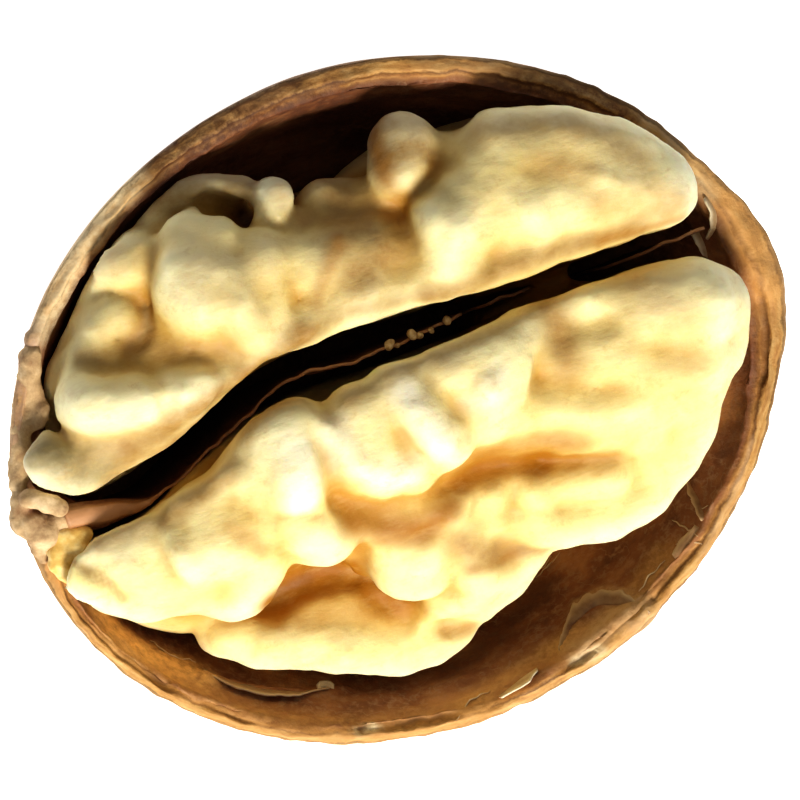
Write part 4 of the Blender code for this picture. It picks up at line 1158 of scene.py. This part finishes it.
def build_septum():
    """A papery sheet along the gap: thick where it grows from the stalk end, torn along its upper edge."""
    neck_start, neck_end = NECK_START - 0.8, NECK_END + 0.8
    edge = septum_edge(SEPTUM_EDGE)
    edge += [(neck_start, SEPTUM_NECK_LEVEL, 0.0), (neck_end, SEPTUM_NECK_LEVEL, 0.0)]
    edge += septum_edge(SEPTUM_TIP_EDGE)
    edge.sort()
    xs, levels, sides = (np.array(column) for column in zip(*edge))
    rings, tops = [], []
    for column in range(SEPTUM_COLUMNS + 1):
        x = xs[0] + (xs[-1] - xs[0]) * column / SEPTUM_COLUMNS
        top = float(np.interp(x, xs, levels))
        root = -CAVITY_DEPTH
        for _ in range(4):
            root = floor_level(x, float(gap_line(x, root))) + SEPTUM_ROOT_GAP
        root = min(root, top - 0.5)
        torn = noise.noise(Vector((x / SEPTUM_TORN_SIZE, 0.0, 0.0)) + TORN_NOISE)
        torn += 0.5 * noise.noise(Vector((3.0 * x / SEPTUM_TORN_SIZE, 0.0, 0.0)) + TORN_NOISE)
        thin = smooth_step(xs[0] + 1.5, xs[0] + 5.5, x)
        top += SEPTUM_TORN * torn * thin
        side = float(np.interp(x, xs, sides))
        left, right = [], []
        for row in range(SEPTUM_ROWS + 1):
            share = (row / SEPTUM_ROWS) ** 0.5
            level = root + (top - root) * share
            from_top = top - level
            y = float(gap_line(x, level)) + side * (1.0 - smooth_step(0.5, 5.0, from_top))
            y += 0.12 * noise.noise(Vector((x / 1.6, level / 1.6, 9.0)))
            y += SEPTUM_CURL * noise.noise(Vector((x / 0.9, 2.0, 0.0))) * (1.0 - smooth_step(0.0, 0.9, from_top)) * thin
            thick = SEPTUM_THIN + (SEPTUM_ROOT_THICK - SEPTUM_THIN) * (1.0 - thin) * min(1.0, 0.45 + 0.8 * from_top)
            left.append((x, y + thick / 2, level))
            right.append((x, y - thick / 2, level))
        rings.append(left + right[::-1])
        tops.append(top)
    count = len(rings[0])
    points = np.array(rings).reshape(-1, 3)
    faces = []
    for column in range(SEPTUM_COLUMNS):
        for i in range(count):
            j = (i + 1) % count
            a, b = column * count, (column + 1) * count
            faces.append((a + i, a + j, b + j, b + i))
    for base, flip in ((0, True), (SEPTUM_COLUMNS * count, False)):
        for i in range(SEPTUM_ROWS):
            quad = (base + i, base + i + 1, base + count - 2 - i, base + count - 1 - i)
            faces.append(quad[::-1] if flip else quad)
    obj = new_mesh("septum_sheet", points, np.array(faces))
    from_top = np.repeat(tops, count) - points[:, 2]
    add_values(obj, "from_top", from_top)
    return obj


def build_crumbs():
    bm = bmesh.new()
    for (px, py), level, radius in CRUMBS:
        centre = seen_at(px, py, level)
        made = bmesh.ops.create_icosphere(bm, subdivisions=3, radius=radius)["verts"]
        for vertex in made:
            grain = 1.0 + 0.7 * noise.noise((vertex.co + centre) / 0.35)
            vertex.co = vertex.co * grain + centre
    return mesh_object("crumbs", bm)


# Cork, flaps and threads


def build_lumps(name, lumps):
    """Small lumps run together, with a grainy surface."""
    lines = [([seen_at(*place) for place in places], radius) for places, radius in lumps.values()]
    spots = np.array([spot for line, _ in lines for spot in line])
    field = Field(spots.min(0) - 1.6, spots.max(0) + 1.6, KNOB_STEP)
    for line, radius in lines:
        field.join(line, radius, KNOB_BLEND)
    points, faces = net_surface(field)
    points = even_out(points, faces, 2)
    small = hollowness(field, points, 2)
    normals = point_normals(points, faces)
    for index, (spot, normal) in enumerate(zip(points.copy(), normals)):
        points[index] = spot + normal * sum(h * noise.noise(Vector(spot) / s) for s, h in KNOB_GRAIN)
    obj = new_mesh(name, points, faces)
    # Small-scale hollowness, for painted shade in the creases.
    add_values(obj, "crease_shade", small)
    return obj


def resample(points, count):
    """The same number of places along a smooth line through the points."""
    points = np.array(points, float)
    at = np.concatenate([[0.0], np.cumsum(np.linalg.norm(np.diff(points, axis=0), axis=1))])
    wanted = np.linspace(0.0, at[-1], count)
    line = np.stack([np.interp(wanted, at, points[:, axis]) for axis in range(3)], axis=1)
    for _ in range(max(1, count // 8)):
        line[1:-1] = (line[:-2] + 2 * line[1:-1] + line[2:]) / 4
    return line


def build_flap(name, wall, root, edge, curl):
    """A thin torn sheet fixed to the wall along one line, with its other edge lifted off."""
    fixed = [wall_at(wall, px, py) + np.array(sight_line(px, py)[1]) * 0.12 for px, py in root]
    free = [wall_at(wall, px, py) - np.array(sight_line(px, py)[1]) * lift for px, py, lift in edge]
    length = np.linalg.norm(np.diff(np.array(free), axis=0), axis=1).sum()
    count = max(6, int(length / FLAP_STEP))
    fixed, free = resample(fixed, count), resample(free, count)
    toward = np.array(BACK)
    points = []
    for column in range(count):
        torn = 0.35 * noise.noise(Vector(free[column]) / 0.5)
        ends = min(1.0, 3.0 * min(column + 0.6, count - column - 0.4) / count)
        for row in range(FLAP_ROWS + 1):
            share = row / FLAP_ROWS * (1.0 + torn * row / FLAP_ROWS) * (0.55 + 0.45 * ends)
            spot = fixed[column] + (free[column] - fixed[column]) * share
            spot = spot + toward * curl * math.sin(math.pi * min(share, 1.0))
            spot = spot + toward * 0.06 * noise.noise(Vector(spot) / 0.7)
            points.append(spot)
    rows = FLAP_ROWS + 1
    faces = [(a, a + 1, a + rows + 1, a + rows)
             for column in range(count - 1) for a in range(column * rows, column * rows + FLAP_ROWS)]
    obj = new_mesh(name, np.array(points), np.array(faces))
    add_values(obj, "edge", np.tile(np.linspace(0.0, 1.0, rows), count))
    sheet = obj.modifiers.new("sheet", "SOLIDIFY")
    sheet.thickness = FLAP_THICKNESS * MM
    sheet.offset = 0.0
    return obj


def build_thread(name, wall, places, lift, radius):
    line = [wall_at(wall, px, py) - np.array(sight_line(px, py)[1]) * lift for px, py in places]
    line = resample(line, 14)
    points = []
    for index, spot in enumerate(line):
        way = Vector(line[min(index + 1, 13)] - line[max(index - 1, 0)]).normalized()
        side = way.cross(BACK).normalized()
        up = side.cross(way)
        thin = radius * (0.35 + 0.65 * math.sin(math.pi * (index + 0.5) / 14.0))
        centre = Vector(spot) + side * 0.12 * noise.noise(Vector(spot) / 0.4)
        for step in range(THREAD_SIDES):
            turn = 2.0 * math.pi * step / THREAD_SIDES
            points.append(centre + side * thin * math.cos(turn) + up * thin * math.sin(turn))
    faces = []
    for ring in range(13):
        for i in range(THREAD_SIDES):
            j = (i + 1) % THREAD_SIDES
            a, b = ring * THREAD_SIDES, (ring + 1) * THREAD_SIDES
            faces.append((a + i, a + j, b + j, b + i))
    for base in (0, 13 * THREAD_SIDES):
        faces.append((base, base + 1, base + 2, base + 3))
        faces.append((base, base + 3, base + 4, base + 5))
    return new_mesh(name, np.array([list(point) for point in points]), np.array(faces))


# Materials


def principled(name, roughness, specular=0.5):
    made = bpy.data.materials.new(name)
    made.use_nodes = True
    shader = made.node_tree.nodes["Principled BSDF"]
    shader.inputs["Roughness"].default_value = roughness
    shader.inputs["Specular IOR Level"].default_value = specular
    return made, made.node_tree, shader


def node(tree, kind, **settings):
    made = tree.nodes.new(kind)
    for key, value in settings.items():
        setattr(made, key, value)
    return made


def link(tree, source, target):
    tree.links.new(source, target)


def noise_node(tree, where, size_mm, detail=4.0, roughness=0.55, stretch=None):
    texture = node(tree, "ShaderNodeTexNoise")
    texture.inputs["Scale"].default_value = 1.0 / (size_mm * MM)
    texture.inputs["Detail"].default_value = detail
    texture.inputs["Roughness"].default_value = roughness
    if stretch is not None:
        mapping = node(tree, "ShaderNodeMapping")
        mapping.inputs["Scale"].default_value = stretch
        link(tree, where, mapping.inputs["Vector"])
        where = mapping.outputs["Vector"]
    link(tree, where, texture.inputs["Vector"])
    return texture.outputs["Fac"]


def ramp_node(tree, value, stops):
    """A colour for each value between the stops, given as (place, colour)."""
    ramp = node(tree, "ShaderNodeValToRGB")
    band = ramp.color_ramp
    while len(band.elements) < len(stops):
        band.elements.new(0.5)
    for element, (place, colour) in zip(band.elements, stops):
        element.position = place
        element.color = (*colour, 1.0)
    link(tree, value, ramp.inputs["Fac"])
    return ramp.outputs["Color"]


def range_node(tree, value, low, high, to_low=0.0, to_high=1.0):
    change = node(tree, "ShaderNodeMapRange", clamp=True)
    link(tree, value, change.inputs["Value"])
    change.inputs["From Min"].default_value = low
    change.inputs["From Max"].default_value = high
    change.inputs["To Min"].default_value = to_low
    change.inputs["To Max"].default_value = to_high
    return change.outputs["Result"]


def mix_node(tree, share, first, second, kind="MIX"):
    """Mixes two colours; each is a socket or a colour."""
    mixed = node(tree, "ShaderNodeMix", data_type="RGBA", blend_type=kind)
    for socket, value in ((mixed.inputs[0], share), (mixed.inputs[6], first), (mixed.inputs[7], second)):
        if hasattr(value, "links"):
            link(tree, value, socket)
        elif isinstance(value, tuple):
            socket.default_value = (*value, 1.0)
        else:
            socket.default_value = value
    return mixed.outputs[2]


def math_node(tree, kind, first, second):
    made = node(tree, "ShaderNodeMath", operation=kind)
    for socket, value in zip(made.inputs, (first, second)):
        if hasattr(value, "links"):
            link(tree, value, socket)
        else:
            socket.default_value = value
    return made.outputs[0]


def value_of(tree, name):
    return node(tree, "ShaderNodeAttribute", attribute_name=name).outputs["Fac"]


def place_of(tree):
    return node(tree, "ShaderNodeTexCoord").outputs["Object"]


def bump_into(tree, shader, height, distance_mm, strength=1.0):
    bump = node(tree, "ShaderNodeBump")
    bump.inputs["Strength"].default_value = strength
    bump.inputs["Distance"].default_value = distance_mm * MM
    link(tree, height, bump.inputs["Height"])
    link(tree, bump.outputs["Normal"], shader.inputs["Normal"])


def tinted(tree, skin, name, colour, patches):
    """The skin's colour turned to a tint where it is brushed on, broken up by patches."""
    share = math_node(tree, "MULTIPLY", value_of(tree, "tint_" + name), patches)
    return mix_node(tree, share, skin, colour)


def seed_material():
    made, tree, shader = principled("seed_skin", 0.55, 0.28)
    place = place_of(tree)
    cloud = noise_node(tree, place, 3.2, 5.0, 0.6)
    # Painted shade and highlight: the skin goes from near-white on the ridges to dark amber in the hollows, by how deep
    # in a hollow each point lies.
    shape = math_node(tree, "ADD", value_of(tree, "hollow"), range_node(tree, cloud, 0.25, 0.75, -0.12, 0.12))
    depth = range_node(tree, shape, -0.6, 0.5)
    skin = ramp_node(tree, depth, [(0.0, (0.98, 0.94, 0.66)), (0.3, (0.92, 0.80, 0.43)), (0.5, (0.80, 0.62, 0.25)),
                                   (0.65, (0.62, 0.39, 0.10)), (0.8, (0.45, 0.20, 0.02)), (1.0, (0.26, 0.10, 0.006))])
    # Painted shade: dark amber in the small creases.
    fine = range_node(tree, value_of(tree, "crease_shade"), 0.03, 0.40, 0.0, 0.7)
    skin = mix_node(tree, fine, skin, (0.46, 0.22, 0.03))
    patches = range_node(tree, noise_node(tree, place, 1.4, 5.0, 0.6), 0.3, 0.62, 0.6, 1.0)
    # Painted shade on slopes turned from the lamp and in valleys, partly the skin's own duller brown.
    skin = tinted(tree, skin, "dull_and_shade", (0.42, 0.25, 0.085), patches)
    # Painted highlight on the near lobe's crests.
    skin = tinted(tree, skin, "painted_highlight", (0.98, 0.96, 0.86), patches)
    # Painted shade: yellow that takes the lamp's highlight off the faces turned to it.
    skin = tinted(tree, skin, "yellow_shade", (0.84, 0.70, 0.30), patches)
    # Painted shade along the gap's edges, beside the far pocket and on the finger.
    skin = tinted(tree, skin, "brown", (0.30, 0.155, 0.025), patches)
    skin = tinted(tree, skin, "green", (0.33, 0.26, 0.125), patches)
    skin = tinted(tree, skin, "pink", (0.60, 0.36, 0.12), patches)
    deep = range_node(tree, cloud, 0.3, 0.6, 0.85, 1.0)
    # Painted shade in hollows and creases, partly the skin's own amber.
    skin = tinted(tree, skin, "amber_and_shade", (0.34, 0.125, 0.002), deep)
    # Painted shadow in the deepest pockets.
    skin = tinted(tree, skin, "dark", (0.08, 0.025, 0.008), patches)
    freckle = range_node(tree, noise_node(tree, place, 0.8, 6.0, 0.7), 0.57, 0.74, 0.0, 0.3)
    skin = mix_node(tree, freckle, skin, (0.50, 0.27, 0.08))
    streak = range_node(tree, noise_node(tree, place, 0.9, 5.0, 0.65, (0.4, 1.0, 1.0)), 0.52, 0.7, 0.0, 0.3)
    skin = mix_node(tree, streak, skin, (0.66, 0.45, 0.17))
    link(tree, skin, shader.inputs["Base Color"])
    shader.inputs["Subsurface Weight"].default_value = 0.25
    shader.inputs["Subsurface Radius"].default_value = (1.0, 0.6, 0.2)
    shader.inputs["Subsurface Scale"].default_value = 1.0 * MM
    grain = noise_node(tree, place, 0.6, 6.0, 0.62, (0.6, 1.0, 1.0))
    bump_into(tree, shader, grain, 0.09, 0.8)
    return made


def shell_material():
    made, tree, shader = principled("shell_wood", 0.6, 0.35)
    place = place_of(tree)
    inside = value_of(tree, "inside")
    cloud = noise_node(tree, place, 6.0, 4.0)
    streak = noise_node(tree, place, 1.6, 5.0, 0.6, (0.25, 1.0, 1.0))
    outside = ramp_node(tree, cloud, [(0.3, (0.36, 0.19, 0.075)), (0.5, (0.47, 0.28, 0.12)), (0.7, (0.58, 0.38, 0.19))])
    outside = mix_node(tree, range_node(tree, streak, 0.45, 0.7, 0.0, 0.5), outside, (0.30, 0.15, 0.06))
    # Painted shade: darker in the bottoms of the outside's grooves.
    groove_shade = range_node(tree, value_of(tree, "groove"), 0.35, 1.0, 0.0, 0.75)
    outside = mix_node(tree, groove_shade, outside, (0.14, 0.065, 0.03))
    rim_place = node(tree, "ShaderNodeCombineXYZ")
    link(tree, value_of(tree, "along"), rim_place.inputs["X"])
    link(tree, math_node(tree, "MULTIPLY", inside, 0.002), rim_place.inputs["Y"])
    fibre = noise_node(tree, rim_place.outputs["Vector"], 0.5, 6.0, 0.65, (0.3, 1.0, 1.0))
    fine = noise_node(tree, place, 0.5, 6.0, 0.65)
    rim = ramp_node(tree, fibre, [(0.3, (0.34, 0.15, 0.04)), (0.48, (0.56, 0.30, 0.09)), (0.66, (0.74, 0.47, 0.19))])
    rim = mix_node(tree, range_node(tree, cloud, 0.45, 0.7, 0.0, 0.55), rim, (0.46, 0.25, 0.11))
    layers = ramp_node(tree, math_node(tree, "ADD", inside, range_node(tree, fine, 0.3, 0.7, -0.05, 0.05)), [
        (0.10, (0.35, 0.35, 0.35)), (0.16, (1.0, 1.0, 1.0)), (0.50, (1.0, 0.98, 0.95)), (0.58, (0.34, 0.28, 0.25)),
        (0.70, (0.85, 0.75, 0.65)), (0.86, (0.55, 0.45, 0.40))])
    rim = mix_node(tree, 1.0, rim, layers, "MULTIPLY")
    lining_cloud = noise_node(tree, place, 2.6, 6.0, 0.62, (0.6, 1.0, 1.0))
    lining = ramp_node(tree, lining_cloud,
                       [(0.32, (0.13, 0.042, 0.019)), (0.5, (0.28, 0.108, 0.042)), (0.66, (0.46, 0.215, 0.085))])
    vein = range_node(tree, math_node(tree, "ABSOLUTE", math_node(tree, "SUBTRACT", noise_node(
        tree, place, 2.2, 3.0, 0.5), 0.5), 0.0), 0.0, 0.012, 0.4, 0.0)
    lining = mix_node(tree, vein, lining, (0.42, 0.25, 0.14))
    speck = range_node(tree, fine, 0.5, 0.68, 0.0, 0.65)
    lining = mix_node(tree, speck, lining, (0.42, 0.23, 0.125))
    on_rim = range_node(tree, inside, 0.02, 0.12)
    off_rim = range_node(tree, inside, 0.72, 0.97)
    skin = mix_node(tree, on_rim, outside, rim)
    skin = mix_node(tree, off_rim, skin, lining)
    patches = range_node(tree, fine, 0.3, 0.6, 0.3, 1.0)
    # Painted shadow: near-black inside the cavity behind the seed and along the shaded wall, over a lining that is dark
    # itself.
    skin = tinted(tree, skin, "dark", (0.05, 0.009, 0.004), patches)
    # Partly the rim's own warm brown, partly painted light on wall that lies in shade.
    skin = tinted(tree, skin, "warm", (0.56, 0.29, 0.09), patches)
    # Partly the wall's own tan, partly painted light on wall that lies in shade.
    skin = tinted(tree, skin, "tan", (0.86, 0.50, 0.18), patches)
    skin = tinted(tree, skin, "pink", (0.50, 0.33, 0.24), patches)
    skin = tinted(tree, skin, "pale", (0.62, 0.40, 0.21), patches)
    skin = tinted(tree, skin, "cream", (0.84, 0.68, 0.42), patches)
    link(tree, skin, shader.inputs["Base Color"])
    grain = noise_node(tree, place, 0.35, 6.0, 0.65)
    bump_into(tree, shader, grain, 0.12, 0.7)
    return made


def septum_material():
    made, tree, shader = principled("septum_paper", 0.5, 0.4)
    place = place_of(tree)
    cloud = noise_node(tree, place, 1.2, 6.0, 0.62)
    sheet = ramp_node(tree, cloud, [(0.32, (0.11, 0.035, 0.018)), (0.5, (0.22, 0.09, 0.038)), (0.68, (0.36, 0.18, 0.08))])
    from_top = value_of(tree, "from_top")
    # Painted shade: the sheet turns near-black deeper down in the gap.
    upper = range_node(tree, from_top, 0.35, 3.0, 1.0, 0.0)
    sheet = mix_node(tree, upper, (0.035, 0.010, 0.007), sheet)
    torn = range_node(tree, math_node(tree, "ADD", from_top, range_node(tree, cloud, 0.3, 0.7, -0.1, 0.15)), 0.02, 0.42,
                      1.0, 0.0)
    sheet = mix_node(tree, torn, sheet, (0.52, 0.27, 0.13))
    link(tree, sheet, shader.inputs["Base Color"])
    bump_into(tree, shader, noise_node(tree, place, 0.4, 6.0, 0.65), 0.08, 0.7)
    return made


def cork_material():
    made, tree, shader = principled("cork", 0.75, 0.25)
    place = place_of(tree)
    cloud = noise_node(tree, place, 1.1, 6.0, 0.62)
    skin = ramp_node(tree, cloud, [(0.3, (0.30, 0.17, 0.085)), (0.5, (0.54, 0.37, 0.20)), (0.68, (0.76, 0.57, 0.35))])
    # Painted shade in the knob's creases.
    crease_shade = range_node(tree, value_of(tree, "crease_shade"), 0.02, 0.35, 0.0, 0.9)
    skin = mix_node(tree, crease_shade, skin, (0.20, 0.07, 0.035))
    link(tree, skin, shader.inputs["Base Color"])
    bump_into(tree, shader, noise_node(tree, place, 0.25, 6.0, 0.65), 0.08, 0.8)
    return made


def root_material():
    made, tree, shader = principled("root_tissue", 0.5, 0.4)
    place = place_of(tree)
    cloud = noise_node(tree, place, 1.0, 5.0, 0.6)
    skin = ramp_node(tree, cloud, [(0.3, (0.62, 0.34, 0.07)), (0.5, (0.80, 0.52, 0.15)), (0.68, (0.95, 0.74, 0.34))])
    link(tree, skin, shader.inputs["Base Color"])
    bump_into(tree, shader, noise_node(tree, place, 0.3, 5.0, 0.6), 0.06, 0.7)
    return made


def membrane_material(name, dark, light, edge_colour):
    """Dry torn membrane, paler along its free edge."""
    made, tree, shader = principled(name, 0.5, 0.4)
    place = place_of(tree)
    cloud = noise_node(tree, place, 0.9, 6.0, 0.62)
    skin = ramp_node(tree, cloud, [(0.35, dark), (0.65, light)])
    edge = range_node(tree, value_of(tree, "edge"), 0.55, 1.0)
    skin = mix_node(tree, edge, skin, edge_colour)
    link(tree, skin, shader.inputs["Base Color"])
    bump_into(tree, shader, noise_node(tree, place, 0.3, 5.0, 0.6), 0.05, 0.6)
    return made


def crumb_material():
    made, tree, shader = principled("crumb_skin", 0.6, 0.3)
    cloud = noise_node(tree, place_of(tree), 0.3, 5.0, 0.6)
    skin = ramp_node(tree, cloud, [(0.3, (0.40, 0.22, 0.09)), (0.5, (0.66, 0.46, 0.22)), (0.7, (0.82, 0.66, 0.40))])
    link(tree, skin, shader.inputs["Base Color"])
    bump_into(tree, shader, cloud, 0.06, 0.8)
    return made


# Stage


def build_camera():
    data = bpy.data.cameras.new("camera")
    camera = bpy.data.objects.new("camera", data)
    bpy.context.scene.collection.objects.link(camera)
    turn = Matrix((RIGHT, UP, BACK)).transposed().to_4x4()
    target = Vector((0.0, 0.0, RIM_HEIGHT)) * MM
    camera.matrix_world = Matrix.Translation(target + BACK * CAMERA_DISTANCE * MM) @ turn
    data.sensor_width = SENSOR
    data.lens = SENSOR * CAMERA_DISTANCE * PIXELS_PER_MM / PICTURE_SIZE
    data.shift_x = (PICTURE_SIZE / 2 - PICTURE_PLACE[0]) / PICTURE_SIZE
    data.shift_y = (PICTURE_PLACE[1] - PICTURE_SIZE / 2) / PICTURE_SIZE
    data.clip_start = 0.001
    bpy.context.scene.camera = camera


def area_light(name, place_mm, size_mm, watts, colour):
    data = bpy.data.lights.new(name, "AREA")
    data.shape = "DISK"
    data.size = size_mm * MM
    data.energy = watts
    data.color = colour
    lamp = bpy.data.objects.new(name, data)
    bpy.context.scene.collection.objects.link(lamp)
    target = Vector((0.0, 0.0, RIM_HEIGHT)) * MM
    lamp.location = Vector(place_mm) * MM
    lamp.rotation_euler = (lamp.location - target).to_track_quat("Z", "Y").to_euler()


def studio_world():
    """A soft dome of light, brighter on the side that the light comes from."""
    world = bpy.data.worlds.new("studio")
    world.use_nodes = True
    tree = world.node_tree
    background = tree.nodes["Background"]
    background.inputs["Color"].default_value = (1.0, 1.0, 1.0, 1.0)
    toward = node(tree, "ShaderNodeVectorMath", operation="DOT_PRODUCT")
    link(tree, node(tree, "ShaderNodeTexCoord").outputs["Generated"], toward.inputs[0])
    toward.inputs[1].default_value = Vector(DOME_TOWARD).normalized()
    link(tree, range_node(tree, toward.outputs["Value"], -0.7, 1.0, *DOME_STRENGTH), background.inputs["Strength"])
    return world


def build_stage():
    bpy.context.scene.world = studio_world()
    bpy.context.scene.view_settings.view_transform = "Standard"
    bpy.context.scene.view_settings.look = "Medium High Contrast"
    area_light("key", KEY_PLACE, KEY_SIZE, KEY_WATTS, KEY_COLOUR)
    bm = bmesh.new()
    bmesh.ops.create_grid(bm, x_segments=1, y_segments=1, size=1.5)
    mesh = bpy.data.meshes.new("floor")
    bm.to_mesh(mesh)
    bm.free()
    floor = bpy.data.objects.new("floor", mesh)
    bpy.context.scene.collection.objects.link(floor)
    made, tree, shader = principled("floor_paint", 0.8, 0.2)
    shader.inputs["Base Color"].default_value = (0.9, 0.9, 0.9, 1.0)
    shader.inputs["Emission Color"].default_value = (1.0, 1.0, 1.0, 1.0)
    shader.inputs["Emission Strength"].default_value = FLOOR_GLOW
    floor.data.materials.append(made)


def place_piece(piece, material, replaced=None):
    """Gives a piece its material and its body, and hides the solid that it stands for, if one is named."""
    piece.data.materials.append(material)
    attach(piece, "root")
    if replaced:
        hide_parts(replaced)


def main():
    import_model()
    build_camera()
    build_stage()
    seed = build_seed()
    place_piece(seed, seed_material(), "kernel")
    shell, wall = build_shell()
    place_piece(shell, shell_material(), "shell")
    place_piece(build_septum(), septum_material(), "septum")
    place_piece(build_crumbs(), crumb_material())
    place_piece(build_lumps("cork_knob", KNOB_LUMPS), cork_material())
    place_piece(build_lumps("root_tissue", ROOT_LUMPS), root_material())
    brown = membrane_material("membrane", (0.24, 0.12, 0.055), (0.42, 0.25, 0.12), (0.62, 0.43, 0.24))
    cream = membrane_material("membrane_cream", (0.50, 0.33, 0.17), (0.74, 0.56, 0.33), (0.86, 0.72, 0.50))
    for name, (root, edge, curl) in FLAPS.items():
        place_piece(build_flap(name, wall, root, edge, curl), cream if name in CREAM_FLAPS else brown)
    for name, (places, lift, radius) in THREADS.items():
        place_piece(build_thread(name, wall, places, lift, radius), cream)


main()
